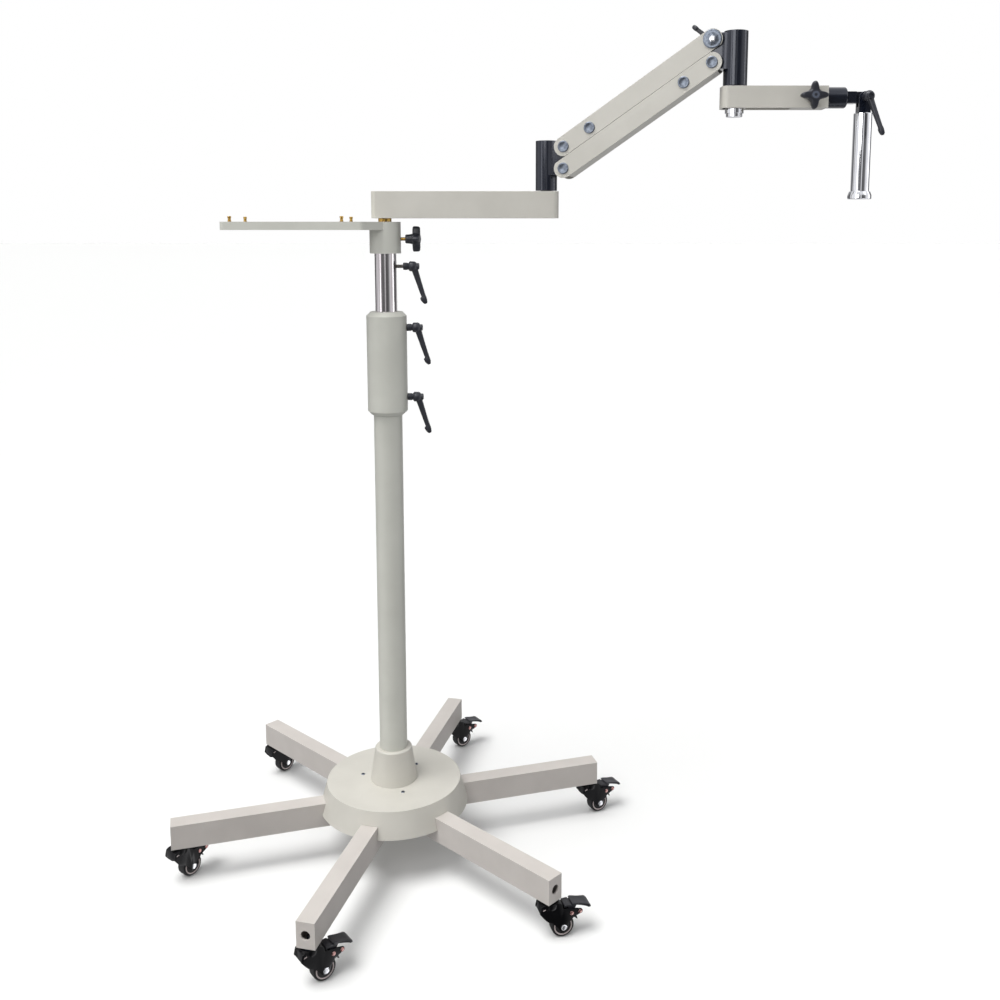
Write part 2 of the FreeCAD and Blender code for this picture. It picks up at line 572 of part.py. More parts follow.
node("barrel", round_edges(barrel, "barrel_edge", barrel_end), head_arm_frame)
barrel_face = "short_long+turn_gap+barrel_long"
node("tilt_yoke", take(
    join(slab("yoke_neck_long", "yoke_neck", "2*yoke_neck", barrel_face, "axis_z-yoke_neck"),
         slab(f"tilt_out-({barrel_face})", "yoke_half", "2*yoke_neck", barrel_face, "axis_z-yoke_neck"),
         pin("yoke_r", "yoke_half", "tilt_out", "axis_z")),
    pin("tilt_bore_r", "yoke_half+1", "tilt_out", "axis_z")), head_arm_frame)
ear = join(pin("yoke_r", "ear_half", "tilt_out", "axis_z"),
           slab("2*yoke_r", "ear_half", "axis_z-post_top_z", "tilt_out-yoke_r", "post_top_z"))
ear_gap = slab("2*yoke_r+2", "yoke_half+turn_gap", "yoke_r+ear_bridge+2", "tilt_out-yoke_r-1",
               "axis_z-ear_bridge")
swing_gap = turned_about(
    slab("yoke_r+8", "yoke_half+turn_gap", "2*ear_bridge", "-(yoke_r+8)", "-ear_bridge"),
    Vector(DIMS["tilt_out"], 0, DIMS["axis_z"]), Rotation(Vector(0, 1, 0), -DIMS["tilt_in"]))
node("post_head", take(ear, ear_gap, swing_gap, pin("tilt_bore_r", "ear_half+1", "tilt_out", "axis_z")), head_arm_frame)
node("tilt_lever", clamp_lever("24", "turn_gap"), head_arm_frame.multiply(Placement(
    Vector(DIMS["tilt_out"], -DIMS["ear_half"] - DIMS["turn_gap"], DIMS["axis_z"]), about_z(-90))).multiply(
    Placement(Vector(0, 0, 0), Rotation(Vector(1, 0, 0), 16))))
node("post", turned([
    (0, "post_top_z-6"), ("post_bore_r", "post_top_z-6"), ("post_bore_r", "post_low_z"),
    ("post_r", "post_low_z"), ("post_r", "post_top_z-1"), ("post_r-1", "post_top_z"), (0, "post_top_z")]),
    head_arm_frame.multiply(Placement(Vector(DIMS["tilt_out"], 0, 0), Rotation())))
node("post_collar", turned([
    (0, "post_low_z-collar_high"), ("collar_r-1", "post_low_z-collar_high"),
    ("collar_r", "post_low_z-collar_high+1"),
    ("collar_r", "post_low_z-collar_high/2"), ("collar_r-collar_chamfer", "post_low_z"),
    ("post_bore_r-0.02", "post_low_z"), ("post_bore_r-0.02", "post_low_z+10"), (0, "post_low_z+10")]),
    head_arm_frame.multiply(Placement(Vector(DIMS["tilt_out"], 0, 0), Rotation())))


# --- castors ----------------------------------------------------------------------------------

def castor_stem():
    """The threaded stem in the leg and the flange under it."""
    return join(rod("stem_r", "stem_top_z-stem_low_z", 0, 0, "stem_low_z"),
                rod("flange_r", "flange_thick", 0, 0, "leg_under-flange_thick"))


def castor_fork():
    """The swivel housing: a hooded fork with its axle, the brake's pivot rivet and its stop rivet."""
    side = profile([
        (0, "cap_low_z+10"), (0, "cap_low_z-8"), ("fork_back-12", "wheel_r+20"),
        ("fork_back+trail-14", "wheel_r"),
        ("fork_back+trail-7", "wheel_r-9"), ("fork_back+trail+7", "wheel_r-9"),
        ("fork_back+trail+13", "wheel_r"), ("fork_back+stop_x", "stop_z-7"),
        ("fork_back+stop_x+6", "stop_z-2"), ("fork_back+stop_x+5", "stop_z+5"),
        ("fork_back+pedal_x-8", "cap_low_z+7"), ("fork_back+16", "cap_top_z"), (6, "cap_top_z")], "fork_half")
    put(side, "-fork_back", 0, 0)
    cap = rod("cap_r", "cap_top_z-cap_low_z", 0, 0, "cap_low_z")
    well = pin("well_r", "well_half", "trail", "wheel_r")
    below = slab("2*well_r", "well_half", "wheel_r", "trail-well_r", 0)
    brake_gap = slab("stop_x", "well_half", "cap_top_z", "pedal_start-2", "wheel_r+10")
    stem_bore = rod("stem_r+fit_gap", "40", 0, 0, "stem_low_z-5")
    body = take(join(side, cap), well, below, brake_gap, stem_bore)
    axle = join(pin("axle_r", "fork_half+1", "trail", "wheel_r"),
                rod("axle_cap_r", "2", "trail", "-fork_half-2", "wheel_r", ALONG_Y),
                rod("axle_cap_r", "2", "trail", "fork_half", "wheel_r", ALONG_Y))
    rivets = []
    for x, z in (("pedal_x", "pedal_z"), ("stop_x", "stop_z")):
        rivets.append(pin("rivet_r", "fork_half+1", x, z))
        for y in ("-fork_half-1.5", "fork_half"):
            rivets.append(rod("rivet_head_r", "1.5", x, y, z, ALONG_Y))
    return join(body, axle, *rivets)


def castor_wheel():
    """A wheel about Y with recessed sides."""
    half = "wheel_wide/2"
    wheel = turned([
        ("axle_r+fit_gap", 0), ("axle_cap_r+2", 0), ("axle_cap_r+2", "hub_recess"),
        ("hub_face_r", "hub_recess"),
        ("hub_face_r+1", "0.5"), ("wheel_r-tyre_round", "0.5"), ("wheel_r", "0.5+tyre_round"),
        ("wheel_r", "wheel_wide-0.5-tyre_round"), ("wheel_r-tyre_round", "wheel_wide-0.5"),
        ("hub_face_r+1", "wheel_wide-0.5"), ("hub_face_r", "wheel_wide-hub_recess"),
        ("axle_cap_r+2", "wheel_wide-hub_recess"), ("axle_cap_r+2", "wheel_wide"),
        ("axle_r+fit_gap", "wheel_wide")])
    return put(wheel, "trail", f"-{half}", "wheel_r", ALONG_Y)


def castor_pedal():
    """The brake pedal: an arched tread on an arm, a pivot boss, and a claw that presses on the tyre."""
    tread = profile([
        (0, "pedal_low_z"), ("pedal_x-pedal_start+16", "pedal_low_z+1"),
        ("pedal_x-pedal_start+30", "pedal_low_z-2"), ("pedal_end-pedal_start-4", "pedal_tip_z"),
        ("pedal_end-pedal_start", "pedal_tip_z+2"), ("pedal_x-pedal_start+34", "pedal_peak_z-3"),
        ("pedal_x-pedal_start+22", "pedal_peak_z"), ("pedal_x-pedal_start+15", "pedal_top_z"),
        (0, "pedal_top_z")], "pedal_half")
    put(tread, "pedal_start", 0, 0)
    arm = slab("2*pedal_hub_r", "well_half-1", "pedal_low_z-pedal_z+1", "pedal_x-pedal_hub_r", "pedal_z")
    boss = pin("pedal_hub_r", "well_half-1", "pedal_x", "pedal_z")
    claw = profile([
        (0, "pedal_z+2"), ("3.5", "pedal_z-12"), (14, "claw_z"), (17, "claw_z+1"), (11, "pedal_z-8"),
        (8, "pedal_z+2")], "claw_half")
    put(claw, "pedal_x", 0, 0)
    return take(join(tread, arm, boss, claw), pin("rivet_r+fit_gap", "well_half", "pedal_x", "pedal_z"))


stems = []
for number, label in enumerate(CASTOR_NAMES):
    place = polar(DIMS["leg_reach"] - DIMS["stem_inset"], leg_turn + 60 * number)
    frame = Placement(place, about_z(CASTOR_AZIMUTHS[number]))
    stem = group(castor_stem())
    stem.Placement = frame
    stems.append(stem)
    node("castor_fork_" + label, castor_fork(), frame)
    node("castor_wheel_" + label, castor_wheel(), frame)
    node("castor_pedal_" + label, castor_pedal(), frame)
node("castor_stems", group(*stems))

# --- check and write --------------------------------------------------------------------------

doc.recompute()
for item in doc.Objects:
    bad = [word for word in item.State if word in ("Invalid", "Error")]
    if bad:
        raise RuntimeError(f"{item.Label} is {bad}")
for item in nodes:
    if item.Shape.isNull() or not item.Shape.isValid():
        raise RuntimeError(f"{item.Label} has no valid shape")

os.makedirs("parts", exist_ok=True)
for item in nodes:
    shape = item.Shape
    shape.exportStep(f"parts/{item.Label}.step")
    print(f"{item.Label}: {len(shape.Solids)} solid(s), {shape.Volume / 1000:.1f} cm3")
print(len(nodes), "nodes")
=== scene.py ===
import json
import math
import bmesh
import bpy
from mathutils import Matrix, Vector


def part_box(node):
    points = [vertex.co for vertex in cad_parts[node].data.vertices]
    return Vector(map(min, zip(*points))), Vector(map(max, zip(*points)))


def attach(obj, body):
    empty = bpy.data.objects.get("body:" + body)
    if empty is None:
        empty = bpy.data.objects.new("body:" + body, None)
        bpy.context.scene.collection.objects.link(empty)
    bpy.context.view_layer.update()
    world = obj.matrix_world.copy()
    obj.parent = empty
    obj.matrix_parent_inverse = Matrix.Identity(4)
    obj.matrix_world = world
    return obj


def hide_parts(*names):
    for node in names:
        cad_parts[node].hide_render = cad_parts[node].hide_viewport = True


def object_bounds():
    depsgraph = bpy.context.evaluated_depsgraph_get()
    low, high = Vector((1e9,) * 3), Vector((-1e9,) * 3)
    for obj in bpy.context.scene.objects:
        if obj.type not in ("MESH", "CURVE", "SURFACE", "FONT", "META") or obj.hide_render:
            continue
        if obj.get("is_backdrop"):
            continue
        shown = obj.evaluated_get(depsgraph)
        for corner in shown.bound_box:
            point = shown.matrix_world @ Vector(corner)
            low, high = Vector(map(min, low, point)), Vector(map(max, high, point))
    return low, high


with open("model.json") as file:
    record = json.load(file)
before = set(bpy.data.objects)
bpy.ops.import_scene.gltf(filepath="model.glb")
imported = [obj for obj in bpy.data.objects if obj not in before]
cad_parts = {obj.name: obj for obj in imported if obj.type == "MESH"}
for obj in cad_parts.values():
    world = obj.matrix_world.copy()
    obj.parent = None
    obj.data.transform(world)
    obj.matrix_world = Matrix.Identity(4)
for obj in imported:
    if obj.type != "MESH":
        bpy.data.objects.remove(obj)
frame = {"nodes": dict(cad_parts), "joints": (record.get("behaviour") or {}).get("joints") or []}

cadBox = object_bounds()
joints = {j["name"]: j for j in frame["joints"]}
mm = 0.001
castorNames = ["right", "back_right", "back_left", "left", "front_left", "front_right"]


cameraSettings = {
    "place": (0.29073, -2.42460, 1.48539),  # metres
    "lookDown": 8.015,  # degrees below level
    "lens": 38.584,  # mm
    "sensor": 36,  # mm
    "shift": (-0.0148, -0.1220),
    "reach": 100,  # metres
}


def makeCamera(s):
    data = bpy.data.cameras.new("camera")
    data.sensor_width = s["sensor"]
    data.lens = s["lens"]
    data.shift_x, data.shift_y = s["shift"]
    data.clip_end = s["reach"]
    camera = bpy.data.objects.new("camera", data)
    camera.location = s["place"]
    camera.rotation_euler = (math.radians(90 - s["lookDown"]), 0, 0)
    bpy.context.scene.collection.objects.link(camera)
    bpy.context.scene.camera = camera


def linear(hexText):
    # sRGB hex to the linear values that the shaders want
    values = [int(hexText[i:i + 2], 16) / 255 for i in (1, 3, 5)]
    return tuple(v / 12.92 if v <= 0.04045 else ((v + 0.055) / 1.055) ** 2.4 for v in values) + (1,)


def addNode(tree, kind, settings=None, links=None):
    # one node, its settings by property or socket name, and its inputs by (node, output)
    node = tree.nodes.new(kind)
    for name, value in (settings or {}).items():
        if isinstance(name, int) or name in node.inputs:
            node.inputs[name].default_value = value
        else:
            setattr(node, name, value)
    for name, (source, output) in (links or {}).items():
        tree.links.new(source.outputs[output], node.inputs[name])
    return node


floorSettings = {
    "side": 240, "below": 0.0004,  # metres
    "colour": "#F4F4F3", "mottle": "#EEEEEC", "mottleScale": 0.7, "roughness": 0.55, "specular": 0.1,
}


def makeFloor(s):
    mesh = bpy.data.meshes.new("studioFloor")
    half = s["side"] / 2
    corners = [(-half, -half, 0), (half, -half, 0), (half, half, 0), (-half, half, 0)]
    mesh.from_pydata(corners, [], [(0, 1, 2, 3)])
    floor = bpy.data.objects.new("studioFloor", mesh)
    floor.location.z = -s["below"]
    bpy.context.scene.collection.objects.link(floor)
    material = bpy.data.materials.new("studioPaperMatt")  # seamless paper, matt and even
    material.use_nodes = True
    tree = material.node_tree
    shader = tree.nodes["Principled BSDF"]
    shader.inputs["Roughness"].default_value = s["roughness"]
    shader.inputs["Specular IOR Level"].default_value = s["specular"]
    noise = addNode(tree, "ShaderNodeTexNoise", {"Scale": s["mottleScale"], "Detail": 3})
    colours = {"data_type": "RGBA", 6: linear(s["colour"]), 7: linear(s["mottle"])}
    mix = addNode(tree, "ShaderNodeMix", colours, {0: (noise, 0)})
    tree.links.new(mix.outputs[2], shader.inputs["Base Color"])
    mesh.materials.append(material)
    floor.visible_glossy = False  # polished metal shows the room, not the paper
    floor.visible_diffuse = False  # and throws no light up onto the undersides
    floor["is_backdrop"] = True


sunSettings = [
    # name, where it shines from, spread in degrees, strength
    ("keySun", (-0.34, -0.22, 0.92), 36, 2.5),
    ("sideSun", (0.55, -0.62, 0.56), 30, 0.12),
]


def makeSuns(rows):
    # soft even light, the same over the whole floor
    for name, source, spread, strength in rows:
        data = bpy.data.lights.new(name, "SUN")
        data.energy = strength
        data.angle = math.radians(spread)
        light = bpy.data.objects.new(name, data)
        light.rotation_euler = Vector(source).to_track_quat("Z", "Y").to_euler()
        bpy.context.scene.collection.objects.link(light)


worldSettings = {
    "paper": "#FFFFFF", "paperStrength": 1.0, "room": "#F4F5F7", "roomStrength": 0.46,
    # the bands that metal reflects: bearing in turns, half a turn being behind the camera, and brightness
    "bands": [
        (0.00, 0.50), (0.10, 0.22), (0.14, 0.10), (0.17, 0.14), (0.185, 0.70), (0.25, 0.86), (0.30, 0.80),
        (0.34, 0.95), (0.35, 3.4), (0.36, 3.4), (0.367, 0.9), (0.385, 0.42), (0.42, 0.12), (0.475, 0.18),
        (0.49, 0.74), (0.505, 0.74), (0.52, 0.10), (0.60, 0.16), (0.625, 0.5), (0.66, 0.85), (0.735, 0.95),
        (0.742, 3.4), (0.752, 3.4), (0.758, 0.95), (0.79, 0.86), (0.81, 0.22), (0.85, 0.08), (0.89, 0.14),
        (0.91, 0.70), (1.00, 0.50)],
    "bandStrength": 1.05, "bandBlue": 1.02,
    "bandTop": (0.3, 0.7),  # height, as a share of straight up, where the bands give way to the room
}


def makeWorld(s):
    # white to the camera, an even grey room to matt surfaces, and bright and dark bands to polished metal
    world = bpy.data.worlds.new("studio")
    bpy.context.scene.world = world
    world.use_nodes = True
    tree = world.node_tree
    tree.nodes.clear()
    where = addNode(tree, "ShaderNodeTexCoord")
    parts = addNode(tree, "ShaderNodeSeparateXYZ", links={0: (where, "Generated")})
    ahead = addNode(tree, "ShaderNodeMath", {"operation": "MULTIPLY", 1: -1.0}, {0: (parts, 1)})
    angle = addNode(tree, "ShaderNodeMath", {"operation": "ARCTAN2"}, {0: (parts, 0), 1: (ahead, 0)})
    toTurns = {"operation": "MULTIPLY_ADD", 1: 0.5 / math.pi, 2: 0.5}
    turns = addNode(tree, "ShaderNodeMath", toTurns, {0: (angle, 0)})
    ramp = addNode(tree, "ShaderNodeValToRGB", links={0: (turns, 0)})
    stops = ramp.color_ramp.elements
    stops.remove(stops[1])
    for number, (bearing, level) in enumerate(s["bands"]):
        stop = stops[0] if number == 0 else stops.new(bearing)
        stop.position = bearing
        stop.color = (level, level, level * s["bandBlue"], 1)
    start, end = s["bandTop"]
    height = addNode(tree, "ShaderNodeMapRange", {"From Min": start, "From Max": end}, {"Value": (parts, 2)})
    roomColour = linear(s["room"])
    mix = addNode(tree, "ShaderNodeMix", {"data_type": "RGBA", 7: roomColour}, {0: (height, 0), 6: (ramp, 0)})
    bands = addNode(tree, "ShaderNodeBackground", {"Strength": s["bandStrength"]}, {0: (mix, 2)})
    room = addNode(tree, "ShaderNodeBackground", {"Color": roomColour, "Strength": s["roomStrength"]})
    paperColour = linear(s["paper"])
    paper = addNode(tree, "ShaderNodeBackground", {"Color": paperColour, "Strength": s["paperStrength"]})
    rays = addNode(tree, "ShaderNodeLightPath")
    roomFor = {0: (rays, "Is Diffuse Ray"), 1: (bands, 0), 2: (room, 0)}
    lit = addNode(tree, "ShaderNodeMixShader", links=roomFor)
    paperFor = {0: (rays, "Is Camera Ray"), 1: (lit, 0), 2: (paper, 0)}
    both = addNode(tree, "ShaderNodeMixShader", links=paperFor)
    addNode(tree, "ShaderNodeOutputWorld", links={0: (both, 0)})


boxSettings = {"place": (-0.7, -2.7, 2.5), "target": (0.35, 0, 1.6), "size": 1.3, "watts": 19}


def makeSoftBox(s):
    data = bpy.data.lights.new("armBox", "AREA")
    data.size = s["size"]
    data.energy = s["watts"]
    light = bpy.data.objects.new("armBox", data)
    light.location = s["place"]
    light.rotation_euler = (Vector(s["target"]) - Vector(s["place"])).to_track_quat("-Z", "Y").to_euler()
    bpy.context.scene.collection.objects.link(light)


makeSoftBox(boxSettings)
makeCamera(cameraSettings)
makeFloor(floorSettings)
makeSuns(sunSettings)
makeWorld(worldSettings)
bpy.context.scene.view_settings.view_transform = "Standard"
print("stage ready")


# pale edges, part wear and part painted highlight, show where a rounded normal leaves the true one, and come
# in patches
edgeWearAndHighlightSettings = {"samples": 4, "flat": 0.99, "turned": 0.86, "patchRange": (0.3, 0.6), "patchLeast": 0.35}


def paintEdgeWearAndHighlight(tree, patches, under, edgeWearAndHighlight, s=edgeWearAndHighlightSettings):
    # corners painted lighter, part wear and part painted highlight, over the colour that is there
    colour, widthMm, most = edgeWearAndHighlight
    rounded = addNode(tree, "ShaderNodeBevel", {"samples": s["samples"], "Radius": widthMm * mm})
    true = addNode(tree, "ShaderNodeNewGeometry")
    both = {0: (rounded, 0), 1: (true, "Normal")}
    same = addNode(tree, "ShaderNodeVectorMath", {"operation": "DOT_PRODUCT"}, both)
    corner = {"From Min": s["flat"], "From Max": s["turned"], "To Max": most}
    edge = addNode(tree, "ShaderNodeMapRange", corner, {"Value": (same, "Value")})
    start, end = s["patchRange"]
    patchy = {"From Min": start, "From Max": end, "To Min": s["patchLeast"]}
    patch = addNode(tree, "ShaderNodeMapRange", patchy, {"Value": (patches, 0)})
    share = addNode(tree, "ShaderNodeMath", {"operation": "MULTIPLY"}, {0: (edge, 0), 1: (patch, 0)})
    wornAndHighlitEdge = {"data_type": "RGBA", 7: linear(colour)}
    return addNode(tree, "ShaderNodeMix", wornAndHighlitEdge, {0: (share, 0), 6: (under, 2)})


# the part of the noise, which runs from 0 to 1, over which colour and roughness change
noiseRange = {"colour": (0.35, 0.65), "roughness": (0.3, 0.7)}


def makeFinish(name, s):
    # colour, gloss and relief follow noise on the piece's own coordinates, each grain of a real size
    material = bpy.data.materials.new(name)
    material.use_nodes = True
    tree = material.node_tree
    shader = tree.nodes["Principled BSDF"]
    for socket, value in s["fixed"].items():
        shader.inputs[socket].default_value = value
    where = addNode(tree, "ShaderNodeTexCoord")
    noise = {}
    for grain, (sizeMm, detail, *stretch) in s["grains"].items():
        place = (where, "Object")
        if stretch:
            place = (addNode(tree, "ShaderNodeMapping", {"Scale": stretch[0]}, {"Vector": place}), "Vector")
        size = {"Scale": 1 / (sizeMm * mm), "Detail": detail}
        noise[grain] = addNode(tree, "ShaderNodeTexNoise", size, {"Vector": place})
    grain, low, high = s["colour"]
    start, end = s.get("colourRange", noiseRange["colour"])
    span = {"From Min": start, "From Max": end}
    share = addNode(tree, "ShaderNodeMapRange", span, {"Value": (noise[grain], 0)})
    colours = {"data_type": "RGBA", 6: linear(low), 7: linear(high)}
    colour = addNode(tree, "ShaderNodeMix", colours, {0: (share, 0)})
    # pale edges: part wear, part painted highlight
    if "edgeWearAndHighlight" in s:
        colour = paintEdgeWearAndHighlight(tree, noise["wornAndHighlitEdge"], colour, s["edgeWearAndHighlight"])
    tree.links.new(colour.outputs[2], shader.inputs["Base Color"])
    grain, low, high = s["roughness"]
    start, end = noiseRange["roughness"]
    span = {"From Min": start, "From Max": end, "To Min": low, "To Max": high}
    gloss = addNode(tree, "ShaderNodeMapRange", span, {"Value": (noise[grain], 0)})
    tree.links.new(gloss.outputs[0], shader.inputs["Roughness"])
    before = {}
    for grain, heightMm, strength in s["relief"]:
        size = {"Strength": strength, "Distance": heightMm * mm}
        bump = addNode(tree, "ShaderNodeBump", size, {"Height": (noise[grain], 0), **before})
        before = {"Normal": (bump, 0)}
    tree.links.new(bump.outputs[0], shader.inputs["Normal"])
    return material


# In every finish, grains gives size in mm, detail and any stretch; colour and roughness give the grain
# that they follow, low and high; the pale edges, part wear and part painted highlight, give colour,
# width in mm and share; relief gives the grain, height in mm and strength.

# polyester powder coat: satin, with a fine orange peel, a faint cloudiness and corners painted paler, part
# wear and part painted highlight; the peel is drawn at 1.6 mm instead of about 1 mm, so that it shows
powderCoat = {
    "fixed": {"IOR": 1.5, "Specular IOR Level": 0.45, "Coat Weight": 0.06, "Coat Roughness": 0.25},
    "grains": {"cloud": (90, 3), "peel": (1.6, 2), "speck": (0.5, 1), "wornAndHighlitEdge": (14, 3)},
    "edgeWearAndHighlight": ("#EDEAE4", 1.3, 0.7),
    "roughness": ("peel", 0.37, 0.50),
    "relief": [("speck", 0.02, 0.35), ("peel", 0.05, 0.5)],
}
creamCoat = makeFinish("creamPowderCoat", {**powderCoat, "colour": ("cloud", "#CDCAC1", "#D3D0C7")})
legCoat = makeFinish("warmGreyPowderCoat", {**powderCoat, "colour": ("cloud", "#C4BEB8", "#CBC5BF")})
baseCoat = makeFinish("palePowderCoat", {**powderCoat, "colour": ("cloud", "#C6C3BA", "#CCC9C0")})
greyCoat = makeFinish("greyPowderCoat", {**powderCoat, "colour": ("cloud", "#C9C9C0", "#CFCFC6")})

# bright drawn steel tube, polished: faint streaks along it and a film of handling marks
tubeSteel = makeFinish("polishedSteelTube", {
    "fixed": {"Metallic": 1.0, "Anisotropic": 0.3},
    "grains": {"streak": (5, 3, (1, 1, 0.02)), "film": (22, 4, (1, 1, 0.4))},
    "colour": ("streak", "#B6B0B2", "#DEDBDC"),
    "roughness": ("film", 0.07, 0.17),
    "relief": [("streak", 0.004, 0.2)],
})

# bright chrome over polished steel: a sharp mirror, with faint wipe marks
chrome = makeFinish("brightChrome", {
    "fixed": {"Metallic": 1.0},
    "grains": {"wipe": (14, 3, (1, 1, 0.3)), "fine": (0.6, 1)},
    "colour": ("wipe", "#E3E4E8", "#F0F1F4"),
    "roughness": ("wipe", 0.03, 0.09),
    "relief": [("fine", 0.002, 0.05)],
})

# blue zinc plate: a dull blue-grey metal with cloudy patches
zinc = makeFinish("blueZincPlate", {
    "fixed": {"Metallic": 1.0, "Anisotropic": 0.2},
    "grains": {"cloud": (5, 4), "fine": (0.5, 2)},
    "colour": ("cloud", "#5F656F", "#828994"),
    "roughness": ("cloud", 0.26, 0.42),
    "relief": [("fine", 0.01, 0.4)],
})

# turned brass: yellow metal with fine tool rings, a little tarnished
turnedMetal = {
    "fixed": {"Metallic": 1.0},
    "grains": {"cloud": (4, 3), "toolRings": (0.5, 2, (0.05, 0.05, 1))},
    "roughness": ("cloud", 0.2, 0.36),
    "relief": [("toolRings", 0.02, 0.5)],
}
brass = makeFinish("turnedBrass", {**turnedMetal, "colour": ("cloud", "#A9843F", "#CDAA62")})
# copper rivets: the same turned look in a dull pink
copperRivet = makeFinish("copperRivet", {**turnedMetal, "colour": ("cloud", "#9C6A66", "#D7B3AE")})

# black anodised aluminium: deep and satin, with faint drawing lines along the bar and bright corners, part
# wear and part painted highlight
anodised = {
    "fixed": {"Metallic": 0.4, "Coat Weight": 0.5, "Coat Roughness": 0.12},
    "colour": ("lines", "#161A26", "#222735"),
    "edgeWearAndHighlight": ("#7D8290", 0.8, 0.6),
    "roughness": ("lines", 0.12, 0.25),
    "relief": [("lines", 0.01, 0.35)],
}
blackAnodised = makeFinish("blackAnodisedAluminium", {
    **anodised, "grains": {"lines": (0.9, 4, (1, 1, 0.04)), "wornAndHighlitEdge": (14, 3)}})
blackBarrel = makeFinish("blackAnodisedBarrel", {
    **anodised, "grains": {"lines": (0.7, 4, (0.04, 1, 1)), "wornAndHighlitEdge": (14, 3)}})

# moulded nylon, some of it glass-filled: a fine spark-eroded grain and a soft sheen
mouldedNylon = {
    "fixed": {"IOR": 1.53, "Specular IOR Level": 0.5},
    "grains": {"cloud": (12, 3), "spark": (0.7, 2), "wornAndHighlitEdge": (14, 3)},
    # paler edges: part wear, part painted highlight
    "edgeWearAndHighlight": ("#8A8C94", 0.5, 0.25),
    "relief": [("spark", 0.04, 0.5)],
}
nylonRows = {
    # name: darker and lighter colour, least and most roughness
    "blackGlassFilledNylon": ("#1B1D25", "#24262F", 0.33, 0.48),
    "naturalNylon": ("#DAD5C6", "#E4E0D4", 0.45, 0.60),
    "greyKnobInsert": ("#4F5563", "#5B6270", 0.30, 0.45),
    "satinBlackPedal": ("#141419", "#1C1C23", 0.28, 0.43),
    "warmGreyRing": ("#B9ABA9", "#C9BDBA", 0.31, 0.46),
}
nylons = {}
for name, (dark, light, least, most) in nylonRows.items():
    shades = {"colour": ("cloud", dark, light), "roughness": ("spark", least, most)}
    nylons[name] = makeFinish(name, {**mouldedNylon, **shades})

# glossy moulded ABS with light ripples from the mould's flow
shellBlack = makeFinish("glossyBlackShell", {
    "fixed": {"IOR": 1.54, "Specular IOR Level": 0.14, "Coat Weight": 0.05, "Coat Roughness": 0.05},
    "grains": {"cloud": (18, 3), "ripple": (7, 2)},
    "colour": ("cloud", "#050507", "#0B0B0E"),
    "roughness": ("cloud", 0.08, 0.2),
    "relief": [("ripple", 0.06, 0.4)],
})

# polyurethane tread: dull black with dust picked up in its pores
tread = makeFinish("blackTread", {
    "fixed": {"IOR": 1.5, "Specular IOR Level": 0.35},
    "grains": {"dust": (3, 4), "pores": (0.8, 3)},
    "colour": ("dust", "#08080A", "#131214"),
    "colourRange": (0.45, 0.75),
    "roughness": ("dust", 0.42, 0.62),
    "relief": [("pores", 0.05, 0.5)],
})

# oiled music wire: dark drawn steel with a warm film
wire = makeFinish("oiledSpringWire", {
    "fixed": {"Metallic": 1.0},
    "grains": {"film": (5, 3), "fine": (0.5, 2)},
    "colour": ("film", "#4B4745", "#77726E"),
    "roughness": ("film", 0.25, 0.4),
    "relief": [("fine", 0.01, 0.3)],
})
print("materials ready")


edgeSettings = {"weldMm": 0.001, "flatDegrees": 0.6, "sharpDegrees": 32, "segments": 2}


def paint(nodeName, material):
    node = frame["nodes"][nodeName]
    node.data.materials.clear()
    node.data.materials.append(material)
    for face in node.data.polygons:
        face.material_index = 0


def easeEdges(nodeName, widthMm, s=edgeSettings):
    # small rounds along the sharp edges, made by modifiers
    node = frame["nodes"][nodeName]
    custom = node.data.attributes.get("custom_normal")
    if custom:
        node.data.attributes.remove(custom)
    for face in node.data.polygons:
        face.use_smooth = True
    weld = node.modifiers.new("weld", "WELD")
    weld.merge_threshold = s["weldMm"] * mm
    flat = node.modifiers.new("flat", "DECIMATE")
    flat.decimate_type = "DISSOLVE"
    flat.angle_limit = math.radians(s["flatDegrees"])
    bevel = node.modifiers.new("ease", "BEVEL")
    bevel.limit_method = "ANGLE"
    bevel.angle_limit = math.radians(s["sharpDegrees"])
    bevel.width = widthMm * mm
    bevel.segments = s["segments"]
    bevel.harden_normals = True


finishes = [
    # material, how much the edges are eased in mm, nodes
    (legCoat, 1.2, ["leg_" + n for n in castorNames]),
    (creamCoat, 0.9, ["lower_arm", "upper_link", "lower_link", "short_arm"]),
    (baseCoat, 0.8, ["base_cover", "column_socket"]),
    (greyCoat, 0.7, ["clamp_sleeve", "tray_plate"]),
    (greyCoat, 0.5, ["column_tube"]),
    (creamCoat, 0.5, ["hub_block"]),
    (tubeSteel, 0.4, ["inner_column", "pivot_pin"]),
    (nylons["naturalNylon"], 0.3, ["column_bush", "inner_column_foot"]),
    (zinc, 0.3, ["castor_stems"]),
    (brass, 0.4, ["pivot_bush"]),
    (blackAnodised, 0.6, ["elbow_knuckle", "head_knuckle", "tilt_yoke", "post_head"]),
    (blackBarrel, 0.6, ["barrel"]),
    (chrome, 0.5, ["post", "post_collar", "head_nut"]),
]
for material, widthMm, names in finishes:
    for nodeName in names:
        paint(nodeName, material)
        easeEdges(nodeName, widthMm)
print("CAD nodes painted")


def addPiece(name, mesh, place, body, replaced=()):
    # an object at a matrix, riding on a body, standing for CAD nodes
    piece = bpy.data.objects.new(name, mesh)
    piece.matrix_world = place
    bpy.context.scene.collection.objects.link(piece)
    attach(piece, body)
    if replaced:
        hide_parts(*replaced)


meshSettings = {"weldMetres": 1e-7, "thinnest": 0.01}  # thinnest, in mm, is a profile's end on its axis


def finishMesh(bm, name, materials, smoothDegrees=38):
    bmesh.ops.remove_doubles(bm, verts=bm.verts, dist=meshSettings["weldMetres"])
    bmesh.ops.recalc_face_normals(bm, faces=bm.faces)
    for face in bm.faces:
        face.smooth = True
    mesh = bpy.data.meshes.new(name)
    bm.to_mesh(mesh)
    bm.free()
    for material in materials:
        mesh.materials.append(material)
    mesh.set_sharp_from_angle(angle=math.radians(smoothDegrees))
    return mesh


